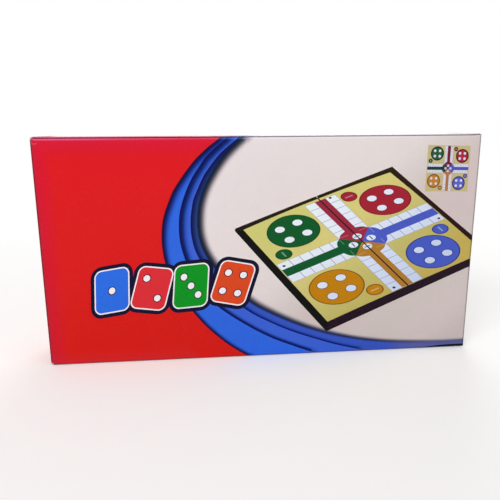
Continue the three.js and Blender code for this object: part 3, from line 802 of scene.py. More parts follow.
# The laminate: the ink's mottle, the chips in worn patches, the smudges, and the waves of the film
INK_NOISE, INK_LEVELS = ((800, 3), (14, 1)), (0.985, 1.015)
CHIP_NOISE, PATCH_NOISE, PATCH_RANGE = (900, 5, 0.65), (90, 2), (0.35, 0.62)
BARE_RANGE, BARE_ROUGH, BARE_PAPER = (1.0, 1.12), 0.45, linear(214, 206, 196)
SMUDGE_NOISE, SMUDGE_RANGE, SMUDGE_ROUGH = (55, 4, 0.6), (0.35, 0.7), (0.24, 0.36)
WAVE_NOISE, WAVE_BUMP = (16, 1), (0.06, 0.001)
FINE_NOISE, FINE_BUMP = (700, 2), 0.04
FILM_IOR, FILM_SHINE = 1.5, 0.12


def laminate_material():
    """Printed board under a film: mottled ink, soft waves, smudged gloss, and bare paper where it is worn."""
    n = surface("printed_laminate")
    mottle, cloud = (n.spread(n.noise(*noise), *INK_LEVELS) for noise in INK_NOISE)
    level = n.math("MULTIPLY", mottle, cloud)
    grey = n.fill(n.new("ShaderNodeCombineColor"), Red=level, Green=level, Blue=level)
    inked = n.mix(1.0, n.attribute("print", "Color"), grey, "MULTIPLY")
    chips = n.math("MULTIPLY", n.noise(*CHIP_NOISE), n.span(n.noise(*PATCH_NOISE), *PATCH_RANGE))
    bare = n.span(n.math("ADD", chips, n.attribute("wear", "Fac")), *BARE_RANGE)
    smudge = n.span(n.noise(*SMUDGE_NOISE), *SMUDGE_RANGE, *SMUDGE_ROUGH)
    rough = n.math("ADD", smudge, n.math("MULTIPLY", bare, BARE_ROUGH), clamp=True)
    wave = n.bump(n.noise(*WAVE_NOISE), *WAVE_BUMP)
    return n.set(Base_Color=n.mix(bare, inked, BARE_PAPER), Roughness=rough,
                 Normal=n.bump(n.noise(*FINE_NOISE), FINE_BUMP, Normal=wave), IOR=FILM_IOR,
                 Specular_IOR_Level=FILM_SHINE)


def bare_board_material():
    n = surface("bare_greyboard")
    fibre = n.noise(1500, 4, 0.7, (1, 1, 0.35))
    colour = n.mix(n.span(fibre, 0.3, 0.72), linear(176, 168, 156), linear(206, 200, 190))
    colour = n.mix(n.spread(n.noise(60, 3), 0, 0.35), colour, linear(188, 180, 166))
    return n.set(Base_Color=colour, Roughness=n.span(fibre, 0.2, 0.8, 0.82, 0.95),
                 Normal=n.bump(fibre, 0.25))


LAMINATE, GREYBOARD = laminate_material(), bare_board_material()


# The carton's panels. Each has flat coordinates (x along the length, s up the developed panel).

ARC = FOLD_RADIUS * math.pi / 2
FLAT_LOW, FLAT_HIGH = FOLD_RADIUS, HEIGHT - FOLD_RADIUS
PANEL_LOW, PANEL_HIGH = FLAT_LOW - ARC, FLAT_HIGH + ARC
FRONT_HALF = CLOSURE_AXIS[0] - CREASE_REACH
NARROW_HALF, NARROW_REACH = DUST_AXIS[0] - CREASE_REACH, HALF_DEPTH - FOLD_RADIUS
FRONT_PITCH, BACK_PITCH, LINE_STEP = 5.0, 6.0, 4.0

# How far the top edge has sunk, and the panels' bow: its depth, its loss toward the ends, its waves
TOP_SAG, END_SAG, END_RISE, SAG_REACH = 0.45, 0.33, 1.4, 7.0
BOW_DEPTH, BOW_LOSS = 0.3, 0.55
LONG_WAVE, LONG_WAVE_X, LONG_WAVE_S = 0.25, 31, 23
SHORT_WAVE, SHORT_WAVE_X, SHORT_WAVE_S = 0.15, 17, 29
FRONT_PHASE, BACK_PHASE = 0.4, 2.1
NARROW_BOW, NARROW_LOSS, NARROW_WAVE, NARROW_WAVE_X = 0.25, 0.5, 0.3, 27

# Where a fold's colour changes, as a distance past its start: a painted highlight on the crest, a painted
# shade line, the ground
FOLD_STEPS = (-0.7, 0.0, 0.25, 0.5, 0.75, 1.3, 1.6, ARC)
CREST_TONE = (0.0, 0.85, 1.0, 0.3, 0.0, 0.0, 0.0, 0.0)
LINE_TONE = (1.0, 1.0, 1.0, 0.5, 0.24, 0.3, 0.8, 1.0)
# Under the bottom fold the painted shade line is weaker. The painted highlight on the crest, its strength
# along the length and its colour, and the tint of the painted shade line
UNDER_LEAST = 0.25
CREST_PLACES, CREST_REACH = (-125, -100, -75, -40, 0, 60, 90, 125), (1.2, 1.1, 0.7, 0.4, 0.9, 0.9, 0.35, 0.2)
CREST_LIGHT, LINE_TINT = np.array((0.08, 0.11, 0.24)), np.array((0.03, 0.0, 0.05))
# Painted sheen near the top fold, and near the bottom fold toward the left end
TOP_SHEEN_REACH, PAINTED_TOP_SHEEN = 5.0, np.array((0.0, 0.006, 0.008))
LOW_SHEEN_REACH, PAINTED_LOW_SHEEN, LOW_SHEEN_END = 6.0, np.array((-0.03, 0.008, 0.017)), -40
# Painted shade beside the creased ends: its tone toward the left end, as a distance in from it, and toward
# the right one
LEFT_STEPS, LEFT_END_SHADE = (0.0, 0.6, 1.5, 2.6), (0.65, 0.82, 0.955, 1.0)
RIGHT_STEPS, RIGHT_END_SHADE = (0.0, 0.6), (0.72, 1.0)
# Grey added to the painted shade at the left end
LEFT_END_SHADE_GREY = np.array((0.0, 0.045, 0.055))

# Wear: how far it reaches from a fold, a side or a corner, and how strong it is there
FOLD_WEAR, SIDE_WEAR, CORNER_WEAR = (1.4, 0.4), (1.2, 0.4), (4, 0.62)
NARROW_WEAR, CLOSURE_EDGE_WEAR, CLOSURE_CORNER_WEAR = (1.2, 0.42), (1.0, 0.5), (4, 0.75)
CREASE_WEAR, CREASE_END_WEAR, CREASE_END_REACH = 0.38, 0.35, 6
# Worn spots of the front, as x, s, radius and strength
WORN_SPOTS = [(-123.8, 129.5, 2.6, 0.35), (-124.2, 0.4, 2.4, 1.0), (124, 1.0, 3.0, 0.7)]

# A painted shadow, a dark strip along the bottom fold toward the right end, and a small scuff by the upper
# left corner, in pixels of the photograph
PAINTED_FOLD_SHADOW = [(415, 348), (436, 345.2), (446, 344.2), (455, 343.7), (461, 343.4), (468, 343.2), (468, 352),
          (415, 352)]
FOLD_SHADOW_PLACES, FOLD_SHADOW_GRADE = (75, 100, 112), seen((80, 86, 142), (34, 34, 66), (10, 13, 30))
SCUFF = [(30.2, 142.9), (33.4, 143.3), (36.4, 142.6), (36.6, 143.2), (33.8, 144.6), (30.2, 144.2)]
SCUFF_INK = (230, 72, 96)


def top_sag(x):
    """How far the top edge has sunk: a little all along, most in the middle, none at the very ends."""
    held = rising(DUST_AXIS[0] - np.abs(x), 0, END_RISE)
    return held * (END_SAG + (TOP_SAG - END_SAG) * falling(x ** 2, DUST_AXIS[0] ** 2))


def folded_place(y_out, bow):
    """Front or back panel: s is z on the flat part and arc length round the folds at top and bottom."""
    toward = 1 if y_out < 0 else -1

    def place(points, depth):
        x, s = points.T
        over = np.clip(s - FLAT_HIGH, 0, None) / FOLD_RADIUS
        under = np.clip(FLAT_LOW - s, 0, None) / FOLD_RADIUS
        r = FOLD_RADIUS - depth - bow(x, s)
        t = falling(FLAT_HIGH - s, SAG_REACH)
        z = np.clip(s, FLAT_LOW, FLAT_HIGH) + r * np.sin(over) - r * np.sin(under)
        z -= top_sag(x) * t * t * (3 - 2 * t)
        return np.column_stack((x, y_out + toward * (FOLD_RADIUS - r * np.cos(over + under)), z))
    return place


def panel_bow(half_x, phase):
    """How far a panel sinks in, in mm: a shallow bow with slow waves, nothing at its folds."""
    def bow(x, s):
        across = np.sin(math.pi * rising(s, FLAT_LOW, FLAT_HIGH - FLAT_LOW))
        along = 1 - BOW_LOSS * np.abs(x / half_x) ** 3
        wave = 1 + LONG_WAVE * np.sin(x / LONG_WAVE_X + phase) * np.cos(s / LONG_WAVE_S + phase)
        wave += SHORT_WAVE * np.sin(x / SHORT_WAVE_X - s / SHORT_WAVE_S + phase)
        return BOW_DEPTH * across * along * wave
    return bow


def finely(points, closed=False):
    """A line with a point at least every few millimetres, so that the shading has vertices to sit on."""
    points = [np.array(p, float) for p in points]
    out = []
    for a, b in zip(points, points[1:] + points[:1] if closed else points[1:]):
        n = max(1, math.ceil(np.linalg.norm(b - a) / LINE_STEP))
        out += [a + (b - a) * k / n for k in range(n)]
    return np.array(out if closed else out + [points[-1]])


def fold_lines(half_x):
    """Level lines where the tone changes across the folds."""
    steps = np.array(FOLD_STEPS[:-1])
    return [finely(((-half_x, s), (half_x, s))) for s in (*(FLAT_HIGH + steps), *(FLAT_LOW - steps))]


def side_cuts(half_x):
    """Upright lines where the painted shade beside an end changes and where the painted sheen along the left
    edge fades.
    """
    places = [step - half_x for step in LEFT_STEPS[1:]]
    places += [half_x - RIGHT_STEPS[1], EDGE_REACH * EDGE_BAND - HALF_LENGTH]
    return [finely(((x, PANEL_LOW), (x, PANEL_HIGH))) for x in places]


def paint_fold_light_and_shade(half_x):
    """Painted light and shade: a highlight on the top fold's crest, a shade line after it and at the bottom
    fold, sheen near both folds, shade along the creased ends.
    """
    def touch(points, colours):
        x, s = points.T
        over, under = s - FLAT_HIGH, FLAT_LOW - s
        light = np.interp(over, FOLD_STEPS, CREST_TONE) * np.interp(x, CREST_PLACES, CREST_REACH)
        low_line = UNDER_LEAST + (1 - UNDER_LEAST) * np.interp(under, FOLD_STEPS, LINE_TONE)
        dark = np.interp(over, FOLD_STEPS, LINE_TONE) * low_line
        # Painted shade beside the creased ends, greyed at the left one
        left = np.interp(half_x + x, LEFT_STEPS, LEFT_END_SHADE)
        side = left * np.interp(half_x - x, RIGHT_STEPS, RIGHT_END_SHADE)
        tint = np.clip(1 - dark, 0, 1)[:, None] * LINE_TINT + (1 - left)[:, None] * LEFT_END_SHADE_GREY
        painted_sheen = falling(np.abs(over), TOP_SHEEN_REACH)[:, None] * PAINTED_TOP_SHEEN
        painted_sheen += (falling(np.abs(under), LOW_SHEEN_REACH) * (x < LOW_SHEEN_END))[:, None] * PAINTED_LOW_SHEEN
        # Painted highlight and painted sheen, then painted shade
        lit = np.clip(colours + light[:, None] * CREST_LIGHT + painted_sheen, LEAST_INK, 1)
        return lit * (dark * side)[:, None] + tint
    return touch


def most_worn(*places):
    """The most wear of several places, each a distance, its reach and its strength."""
    return np.max([falling(distance, reach) * strength for distance, reach, strength in places], axis=0)


def folded_wear(half_x, spots):
    """Wear of a folded panel: most at its corners, some along the folds and the crease lines."""
    def wear(points):
        x, s = points.T
        to_fold = np.minimum(np.abs(s - (FLAT_HIGH + ARC / 2)), np.abs(s - (FLAT_LOW - ARC / 2)))
        to_side = half_x - np.abs(x)
        return most_worn((to_fold, *FOLD_WEAR), (to_side, *SIDE_WEAR),
                         (np.hypot(to_fold, to_side), *CORNER_WEAR),
                         *((np.hypot(x - cx, s - cs), reach, strength) for cx, cs, reach, strength in spots))
    return wear


def rectangle(x0, s0, x1, s1):
    return np.array(((x0, s0), (x1, s0), (x1, s1), (x0, s1)), float)


def clipped(lines, outline, margin=4):
    """The stretches of lines that lie near an outline, so that nothing far away is triangulated."""
    low, high = outline.min(0) - margin, outline.max(0) + margin
    out = []
    for line in lines:
        near = ((line > low) & (line < high)).all(1)
        starts = [0, *(np.flatnonzero(np.diff(near)) + 1)]
        runs = np.split(line, starts[1:])
        out += [run for run, start in zip(runs, starts) if near[start] and len(run) > 1]
    return out


def add_wide_panel(name, node, y_out, half_x, phase, ink, pitch, spots=()):
    outline = finely(rectangle(-half_x, PANEL_LOW, half_x, PANEL_HIGH), True)
    board_piece(name, "carton", node, outline, folded_place(y_out, panel_bow(half_x, phase)),
                ink, clipped(STRIPE_CUTS, outline) + side_cuts(half_x), fold_lines(half_x), pitch,
                folded_wear(half_x, spots))


def front_print():
    # A painted shadow along the bottom fold toward the right end, and a scuff
    marks = [(on_front(PAINTED_FOLD_SHADOW), lambda points: levels_at(points[:, 0], FOLD_SHADOW_PLACES, FOLD_SHADOW_GRADE)),
             (on_front(SCUFF), plain(*SCUFF_INK))]
    return Print(STRIPES + marks + pictured_board() + pictured_inset() + pictured_dice(), red_ground,
                 paint_fold_light_and_shade(FRONT_HALF))


FRONT_PRINT = front_print()

# The narrow panels at the top and the bottom

STRIPE_RISE, STRIPE_OVERRUN, STRIPE_POINTS, SIDE_OVERRUN = 24, 2, 30, 20
LOWEST_END = 1.5


def narrow_stripes(at_top):
    """The stripes where they cross a narrow panel: each leaves the front fold in its own direction and
    comes back to the rear fold at the same place. Each runs the way in which it is walked from the top."""
    lines = []
    for line in LINES:
        a, b = (line[1], line[0]) if at_top else (line[-2], line[-1])
        if not at_top and b[1] > LOWEST_END:
            continue
        slope = (b[0] - a[0]) / abs(b[1] - a[1])
        rise = min(slope * NARROW_REACH / 2, STRIPE_RISE)
        y = np.linspace(-NARROW_REACH - STRIPE_OVERRUN, NARROW_REACH + STRIPE_OVERRUN, STRIPE_POINTS)
        crossing = np.column_stack((b[0] + slope * ARC + rise * (1 - (y / NARROW_REACH) ** 2), y))
        lines.append(crossing[::-1] if at_top else crossing)
    return lines


def side_region(line):
    """The region on the +x side of a line that crosses a narrow panel."""
    outward = math.copysign(SIDE_OVERRUN, line[0][1] - line[-1][1])
    first, last = line[0] + (0, outward), line[-1] - (0, outward)
    return np.vstack((first, line, last, (FAR, last[1]), (FAR, first[1])))


def narrow_shade(line, k):
    """The same ramps as on the front, by the distance along x."""
    order = np.argsort(line[:, 1])
    xs, ys = line[order].T

    def shade(points):
        t = rising(points[:, 0] - np.interp(points[:, 1], ys, xs), 0, WIDE_RAMP)
        tones = ramp(t, TONES[k][0])
        if k < LAST:
            return tones
        blend = rising(t, *SHADOW_BLEND)[:, None]
        return tones * (1 - blend) + PALE_GRADE[0] * blend
    return shade


def add_narrow_panel(name, node, at_top):
    outline = finely(rectangle(-NARROW_HALF, -NARROW_REACH, NARROW_HALF, NARROW_REACH), True)
    z_out, down = (HEIGHT, -1) if at_top else (0.0, 1)

    def place(points, depth):
        x, y = points.T
        across = np.cos(y / NARROW_REACH * math.pi / 2)
        sink = NARROW_BOW * across * (1 - NARROW_LOSS * (x / NARROW_HALF) ** 2)
        sink *= 1 + NARROW_WAVE * np.sin(x / NARROW_WAVE_X)
        return np.column_stack((x, y, z_out + down * (depth + (sink + top_sag(x) if at_top else 0 * x))))

    def wear(points):
        to_side = np.minimum(NARROW_HALF - np.abs(points[:, 0]), NARROW_REACH - np.abs(points[:, 1]))
        return most_worn((to_side, *NARROW_WEAR))

    lines = narrow_stripes(at_top)
    width = WIDE_RAMP if at_top else NARROW_RAMP
    regions = [(side_region(line), narrow_shade(line, k)) for k, line in enumerate(lines)]
    cuts = [line + (s * width, 0) for line in lines for s in RAMP_SHARES[1:]]
    printed = Print(regions, even(RED_TOP if at_top else RED_BOTTOM))
    board_piece(name, "carton", node, outline, place, printed, clipped(cuts, outline), [],
                BACK_PITCH, wear)


# The ends. Their ground is red at the left, and at the right pale with the lowest stripe run on.

STRIPE_END, LEAST_END, END_SHADOW = on_front([STRIPE_EDGES[LAST][-1]])[0, 1], 2.0, 0.9
END_BLUE, END_SHADOW_INK = (78, 92, 176), (128, 116, 138)
END_PLACE, FLAP_LEVEL, OVERRUN = 124.0, 60.0, 5
CLOSURE_BOW, CLOSURE_WAVE, CLOSURE_WAVE_Z, SLANT_START = 0.22, 0.4, 21, 0.9
FLAP_CURL, FLAP_WAVE, BLEED = 0.12, 19, 7.0
CREASE_STEPS, CREASE_ROW, SHARP_ANGLE = 8, 4, math.radians(40)
# A crease at the front has the colour that the front has this far in from it, darkened as painted shade
CREASE_SAMPLE, CREASE_PAINTED_SHADE = 1.0, 0.45


def end_ground(side):
    """The ground colour of an end by its height, which is the second value of each point."""
    ground, x = (red_ground, 0.0) if side < 0 else (pale_ground, END_PLACE)
    return lambda points: ground(np.column_stack((np.full(len(points), x), points[:, 1])))


def end_colour(side):
    return end_ground(side)(np.array(((0.0, FLAP_LEVEL),)))[0]


def end_print(side, first, last):
    """The print of an end closure over (y, z)."""
    if side < 0:
        return Print([], end_ground(side))
    edge = max(STRIPE_END, LEAST_END)
    first, last = first - OVERRUN, last + OVERRUN
    return Print([(rectangle(first, edge, last, edge + END_SHADOW), plain(*END_SHADOW_INK)),
                  (rectangle(first, -OVERRUN, last, edge), plain(*END_BLUE))], end_ground(side))


def add_closure(side, name):
    """The end's closure, from its crease at the front to the fold of its tongue."""
    y0, y1 = CLOSURE_AXIS[1] + CREASE_REACH, TONGUE_AXIS_Y - CREASE_REACH
    z0, z1 = CLOSURE_SIDE_GAP, HEIGHT - CLOSURE_SIDE_GAP

    def place(points, depth):
        y, z = points.T
        t = (y - y0) / (y1 - y0)
        wave = 1 - CLOSURE_WAVE + CLOSURE_WAVE * np.cos(z / CLOSURE_WAVE_Z + side)
        sink = CLOSURE_BOW * np.sin(math.pi * np.clip(t, 0, 1)) * wave
        slant = depth / BOARD * CREASE_REACH * rising(t, SLANT_START, 1 - SLANT_START)
        return np.column_stack((side * (HALF_LENGTH - depth - sink), y - slant, z))

    def wear(points):
        y, z = points.T
        to_edge, to_fold = np.minimum(z - z0, z1 - z), np.minimum(y - y0, y1 - y)
        return most_worn((to_edge, *CLOSURE_EDGE_WEAR), (to_fold, *SIDE_WEAR),
                         (np.hypot(to_edge, to_fold), *CLOSURE_CORNER_WEAR))

    board_piece(f"{name}_closure_board", f"{name}_closure", f"{name}_end_closure",
                finely(rectangle(y0, z0, y1, z1), True), place, end_print(side, y0, y1), [], [], FRONT_PITCH,
                wear)


def add_flap(name, body, node, outline, origin, along, tipward, outward, side):
    """A flap in flat coordinates: a along its crease, b from its axis to its tip. Its outer face looks
    outward and is white, with the ground colour running a little way over its crease."""
    along, tipward, outward = (np.array(v, float) for v in (along, tipward, outward))
    (first, start), (last, tip) = outline.min(0), outline.max(0)

    def place(points, depth):
        a, b = points[:, 0:1], points[:, 1:2]
        curl = FLAP_CURL * np.sin(math.pi * np.clip(b / tip, 0, 1)) * np.sin(a / FLAP_WAVE + side)
        return origin + a * along + b * tipward + (BOARD / 2 - depth - np.abs(curl)) * outward

    bleed = rectangle(first - OVERRUN, start - OVERRUN, last + OVERRUN, BLEED)
    board_piece(name, body, node, outline, place,
                Print([(bleed, even(end_colour(side)))], even(COATED_WHITE)), [], [], FRONT_PITCH,
                lambda points: most_worn((tip - points[:, 1], *CLOSURE_EDGE_WEAR)))


def add_crease(name, origin, along, low, high, normal_a, normal_b, shade):
    """The skin of the board over a crease: it runs from one panel's face to the next. shade(height) gives its
    colour."""
    along, na, nb = (np.array(v, float) for v in (along, normal_a, normal_b))
    # The middle of the fold lies at the same depth under both faces
    depths = np.array((-CREASE_REACH, -CREASE_REACH, 0.0))
    middle = origin + np.linalg.lstsq(np.vstack((na, nb, along)), depths, rcond=None)[0]
    turn = math.acos(max(-1.0, min(1.0, na @ nb)))
    shares = np.arange(CREASE_STEPS + 1) / CREASE_STEPS
    ways = [(math.sin((1 - f) * turn) * na + math.sin(f * turn) * nb) / math.sin(turn) for f in shares]
    inner = CREASE_RADIUS - CREASE_SKIN
    profile = [CREASE_RADIUS * way for way in ways] + [inner * way for way in reversed(ways)]
    ring, rows = len(profile), max(2, round((high - low) / CREASE_ROW))
    places = [low + (high - low) * i / rows for i in range(rows + 1)]
    verts = [((middle + at * along + point) * MM).tolist() for at in places for point in profile]
    faces = []
    for i in range(rows):
        for k in range(ring):
            a, b = i * ring + k, i * ring + (k + 1) % ring
            faces.append((a, b, b + ring, a + ring))
    for k in range(CREASE_STEPS):
        cap = (k, ring - 1 - k, ring - 2 - k, k + 1)
        faces += [cap, tuple(rows * ring + v for v in reversed(cap))]
    mesh = bpy.data.meshes.new(name)
    mesh.from_pydata(verts, [], faces)
    if np.cross(na, nb) @ along < 0:
        mesh.flip_normals()
    mesh.materials.append(LAMINATE)
    mesh.polygons.foreach_set("use_smooth", [True] * len(faces))
    mesh.set_sharp_from_angle(angle=SHARP_ANGLE)
    tones = np.array([(*shade(at), 1.0) for at in places])
    to_end = np.minimum(np.arange(rows + 1), rows - np.arange(rows + 1)) * CREASE_ROW
    worn = CREASE_WEAR + CREASE_END_WEAR * falling(to_end, CREASE_END_REACH)
    attach(mesh, "print", "FLOAT_COLOR", "POINT", np.repeat(tones, ring, axis=0))
    attach(mesh, "wear", "FLOAT", "POINT", np.repeat(worn, ring))
    piece = add_object(name, mesh)
    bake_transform(piece)


def add_end(side, name):
    add_closure(side, name)
    outward, up, colour = (side, 0, 0), (0, 0, 1), end_colour(side)
    closure_body, tongue_body = f"{name}_closure", f"{name}_tongue"
    beside = side * (FRONT_HALF - CREASE_SAMPLE)

    def front_shade(height):
        place = np.array(((beside, height),))
        # The front's colour there, darkened as painted shade
        return FRONT_PRINT.paint(place, place)[0] * CREASE_PAINTED_SHADE

    x_axis = side * CLOSURE_AXIS[0]
    add_crease(f"{name}_closure_crease", (x_axis, CLOSURE_AXIS[1], 0), up, CLOSURE_SIDE_GAP,
               HEIGHT - CLOSURE_SIDE_GAP, (0, -1, 0), outward, front_shade)

    cant = math.asin(TONGUE_LEAN / TONGUE_LENGTH)
    inward = (-side * math.cos(cant), -math.sin(cant), 0)
    facing = (-side * math.sin(cant), math.cos(cant), 0)
    low, high = TONGUE_SIDE_GAP, HEIGHT - TONGUE_SIDE_GAP
    fold = (x_axis, TONGUE_AXIS_Y, 0)
    add_crease(f"{name}_tongue_crease", fold, up, low, high, outward, facing,
               lambda height: colour)
    tongue = rounded([(low, CREASE_REACH, 0), (high, CREASE_REACH, 0), (high, TONGUE_LENGTH, TONGUE_CORNER),
                      (low, TONGUE_LENGTH, TONGUE_CORNER)])
    add_flap(f"{name}_tongue_board", tongue_body, f"{name}_tuck_tongue", tongue, fold, up, inward, facing,
             side)

    dust = rounded([(DUST_FRONT, CREASE_REACH, 0), (DUST_BACK, CREASE_REACH, 0),
                    (DUST_BACK - DUST_BACK_LEAN, DUST_LENGTH, DUST_CORNER),
                    (DUST_FRONT + DUST_FRONT_LEAN, DUST_LENGTH, DUST_CORNER)])
    for part, edge, lift in (("upper", "top", 1), ("lower", "bottom", -1)):
        body = f"{name}_{part}_flap"
        root = (side * DUST_AXIS[0], -HALF_DEPTH, DUST_AXIS[1] if lift > 0 else HEIGHT - DUST_AXIS[1])
        add_flap(f"{body}_board", body, f"{name}_{edge}_dust_flap", dust, root, (0, 1, 0), (0, 0, -lift),
                 outward, side)
        add_crease(f"{body}_crease", root, (0, 1, 0), DUST_FRONT, DUST_BACK, (0, 0, lift), outward,
                   lambda height: colour)


# The inner pieces keep their CAD shape


def moulded(name, rgb, rough, grain=900, bump=0.1):
    """Plastic with slow changes in its colour and its gloss, and a fine grain."""
    n = surface(name)
    lighter = linear(*[min(255, c * 1.12 + 4) for c in rgb])
    return n.set(Base_Color=n.mix(n.spread(n.noise(60, 3)), linear(*rgb), lighter),
                 Roughness=n.spread(n.noise(140, 3), rough - 0.06, rough + 0.08),
                 Normal=n.bump(n.noise(grain, 3), bump))


def metal(name, rgb, rough, stretch=(0.1, 1, 1)):
    """Metal with streaks along its length, or with an even grain."""
    n = surface(name)
    streak = n.noise(500, 4, 0.6, stretch)
    colour = n.mix(n.spread(streak), linear(*rgb), linear(*[c * 0.82 for c in rgb]))
    return n.set(Base_Color=colour, Metallic=1.0, Normal=n.bump(streak, 0.08, THIN_DEPTH),
                 Roughness=n.spread(streak, rough - 0.08, rough + 0.12))


def foam_material():
    n = surface("foam_cells")
    cells = n.new("ShaderNodeTexVoronoi", feature="F1")
    height = n.fill(cells, Vector=n.coordinates(), Scale=900)
    colour = n.mix(n.span(height, 0.0, 0.6), linear(30, 30, 33), linear(56, 56, 60))
    return n.set(Base_Color=colour, Roughness=0.95, Normal=n.bump(height, 0.5, CELL_DEPTH))


def paper_material():
    n = surface("leaflet_paper")
    fibre = n.noise(1200, 4, 0.7)
    colour = n.mix(n.spread(fibre), linear(236, 232, 222), linear(246, 243, 236))
    return n.set(Base_Color=colour, Roughness=0.85, Normal=n.bump(fibre, 0.15, THIN_DEPTH))


# The pattern on the case's own playing surface, whose halves meet at the hinge: two lengths in metres,
# then shares of the board's side, measured from its middle
PLAY_SIDE, HINGE_HEIGHT = 0.2335, 0.12555
PLAY_HOME, ARM_HALF, PLAY_LINE = 0.296, 0.096, 0.0016
PLAY_FIELD, PLAY_WHITE, PLAY_GRAIN = linear(216, 206, 126), linear(236, 238, 244), linear(40, 36, 40)
GREEN, RED, BLUE, YELLOW = (linear(*colours[0]) for colours in QUARTER_COLOURS)


def play_sheet_material(name, own_arm, homes):
    """The traditional pattern on one half of the board."""
    n = surface(name)
    at = n.new("ShaderNodeSeparateXYZ")
    n.link(n.coordinates(), at.inputs[0])

    def less(value, limit):
        return n.math("LESS_THAN", value, limit)

    def apart(value, place):
        return n.math("ABSOLUTE", n.math("SUBTRACT", value, place))

    def spot(a, b, radius):
        return less(n.math("ADD", n.math("MULTIPLY", a, a), n.math("MULTIPLY", b, b)), radius ** 2)

    along = n.math("DIVIDE", at.outputs["X"], PLAY_SIDE)
    across = n.math("DIVIDE", apart(at.outputs["Z"], HINGE_HEIGHT), PLAY_SIDE)
    q, left = n.math("ABSOLUTE", along), less(along, 0.0)
    far, near = n.math("MAXIMUM", across, q), n.math("MINIMUM", across, q)
    in_arm = less(near, ARM_HALF)
    a, b = apart(across, PLAY_HOME), apart(q, PLAY_HOME)
    colour = n.mix(spot(a, b, HOME_RADIUS), PLAY_FIELD, n.mix(left, homes[1], homes[0]))
    dot = spot(n.math("SUBTRACT", a, DOT_PITCH), n.math("SUBTRACT", b, DOT_PITCH), DOT_RADIUS)
    colour = n.mix(in_arm, n.mix(dot, colour, PLAY_WHITE), PLAY_WHITE)
    steps = n.math("PINGPONG", n.math("SUBTRACT", far, ARM_HALF), (0.5 - ARM_HALF) / CELLS / 2)
    ruled = n.math("MULTIPLY", less(steps, PLAY_LINE), in_arm)
    ruled = n.math("MAXIMUM", ruled, less(apart(near, ARM_HALF), PLAY_LINE))
    arm = n.mix(n.math("GREATER_THAN", across, q), n.mix(left, YELLOW, RED), own_arm)
    column = n.math("MAXIMUM", less(near, COLUMN_HALF), less(far, ARM_HALF))
    colour = n.mix(column, n.mix(ruled, colour, linear(*CELL_INK)), arm)
    grain = n.noise(1500, 3)
    return n.set(Base_Color=n.mix(n.spread(grain, 0.0, 0.06), colour, PLAY_GRAIN),
                 Roughness=n.spread(grain, 0.3, 0.4), Normal=n.bump(grain, 0.05))


PAWN_COLOURS = {"red": (196, 20, 32), "green": (10, 120, 48), "blue": (36, 76, 200), "yellow": (232, 176, 20)}


def dress_inner_pieces():
    """Gives each piece the material of the first kind whose name its own name holds."""
    kinds = {
        "magnet": metal("ferrite", (64, 64, 68), 0.5, (1, 1, 1)),
        "half_shell": moulded("black_moulding", (26, 24, 28), 0.42),
        "latch_clip": moulded("black_clip_plastic", (32, 30, 34), 0.34, 1400, 0.06),
        "tin_plate": metal("rolled_tin", (186, 190, 194), 0.3),
        "front_play_sheet": play_sheet_material("front_sheet_print", GREEN, (GREEN, YELLOW)),
        "rear_play_sheet": play_sheet_material("rear_sheet_print", BLUE, (RED, BLUE)),
        "hinge_pin": metal("drawn_steel", (156, 158, 162), 0.28),
        "foam_tray": foam_material(),
        "rules_leaflet": paper_material(),
        "die": moulded("ivory_plastic", (240, 236, 224), 0.25, 600, 0.04),
        "glue_flap": GREYBOARD,
    }
    for colour, rgb in PAWN_COLOURS.items():
        kinds[f"{colour}_pawn"] = moulded(f"{colour}_plastic", rgb, 0.22, 500, 0.04)
    for node, obj in frame["nodes"].items():
        if not obj.hide_render:
            obj.data.materials.clear()
            obj.data.materials.append(next(kinds[kind] for kind in kinds if kind in node))


# The room, in metres: a pale floor that keeps the object's shadow and is plain white farther away

FLOOR_HALF, FLOOR_DROP = 6.0, 0.0002
FLOOR_TONE, FLOOR_LIFT, FLOOR_NEAR, FLOOR_FAR = linear(236, 235, 233), 0.24, 0.2, 0.5
FLOOR_ROUGH, FLOOR_SHINE = 0.75, 0.2
ROOM_LEVEL = 0.45
LIGHT_TARGET = Vector((0, 0, 0.07))
# Each lamp's place, size and power, and whether glossy surfaces mirror it
LAMPS = [("key", (-0.55, -0.75, 0.75), (0.5, 0.5), 5.5, False),
         ("fill", (0.9, -0.8, 0.5), (0.7, 0.7), 2.0, False),
         ("back", (0.3, 1.1, 0.8), (0.8, 0.6), 6.0, True)]


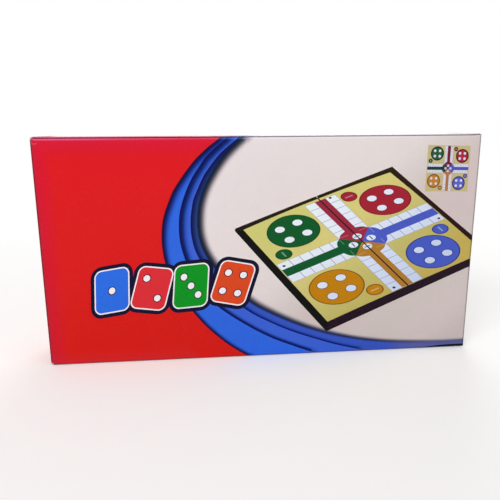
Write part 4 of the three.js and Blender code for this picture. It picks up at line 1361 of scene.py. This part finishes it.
def add_floor():
    mesh = bpy.data.meshes.new("floor")
    corners = rectangle(-FLOOR_HALF, -FLOOR_HALF, FLOOR_HALF, FLOOR_HALF)
    mesh.from_pydata([(x, y, 0) for x, y in corners], [], [(0, 1, 2, 3)])
    floor = add_object("floor", mesh)
    floor.location.z = -FLOOR_DROP
    n = surface("pale_floor")
    n.set(Base_Color=FLOOR_TONE, Roughness=FLOOR_ROUGH, Specular_IOR_Level=FLOOR_SHINE)
    showing = n.rays("Camera", "Glossy", "Transmission")
    white, lift, both = n.new("ShaderNodeEmission"), n.new("ShaderNodeEmission"), n.new("ShaderNodeAddShader")
    n.fill(lift, Strength=n.math("MULTIPLY", showing, FLOOR_LIFT))
    n.link(n.shader.outputs[0], both.inputs[0])
    n.link(lift.outputs[0], both.inputs[1])
    away = n.new("ShaderNodeVectorMath", operation="LENGTH")
    n.link(n.coordinates(), away.inputs[0])
    choose = n.new("ShaderNodeMixShader")
    reach = n.span(away.outputs["Value"], FLOOR_NEAR, FLOOR_FAR)
    for socket, value in zip(choose.inputs, (n.math("MULTIPLY", reach, showing), both.outputs[0],
                                             white.outputs[0])):
        n.link(value, socket)
    n.link(choose.outputs[0], n.output)
    mesh.materials.append(n.owner)


def add_area(name, place, size, power, mirrored):
    data = bpy.data.lights.new(name, "AREA")
    data.shape = "RECTANGLE"
    data.size, data.size_y = size
    data.energy = power
    lamp = add_object(name, data)
    lamp.location = place
    lamp.visible_glossy = mirrored
    lamp.rotation_euler = (LIGHT_TARGET - Vector(place)).to_track_quat("-Z", "Y").to_euler()


def add_light():
    world = bpy.data.worlds.new("studio")
    bpy.context.scene.world = world
    n = Nodes(world)
    strength = n.span(n.rays("Camera", "Glossy"), 0.0, 1.0, ROOM_LEVEL, 1.0)
    back = n.fill(n.new("ShaderNodeBackground"), Color=(1, 1, 1), Strength=strength)
    n.link(back, n.new("ShaderNodeOutputWorld").inputs["Surface"])
    for lamp in LAMPS:
        add_area(*lamp)


bpy.context.scene.view_settings.view_transform = "Standard"
add_camera()
add_light()
add_floor()
add_wide_panel("front_board", "front_panel", -HALF_DEPTH, FRONT_HALF, FRONT_PHASE, FRONT_PRINT, FRONT_PITCH,
               WORN_SPOTS)
add_wide_panel("back_board", "back_panel", HALF_DEPTH, HALF_LENGTH, BACK_PHASE,
               Print(STRIPES, red_ground, paint_fold_light_and_shade(HALF_LENGTH)), BACK_PITCH)
add_narrow_panel("top_board", "top_panel", True)
add_narrow_panel("bottom_board", "bottom_panel", False)
for end_side, end_name in ((-1, "left"), (1, "right")):
    add_end(end_side, end_name)
dress_inner_pieces()
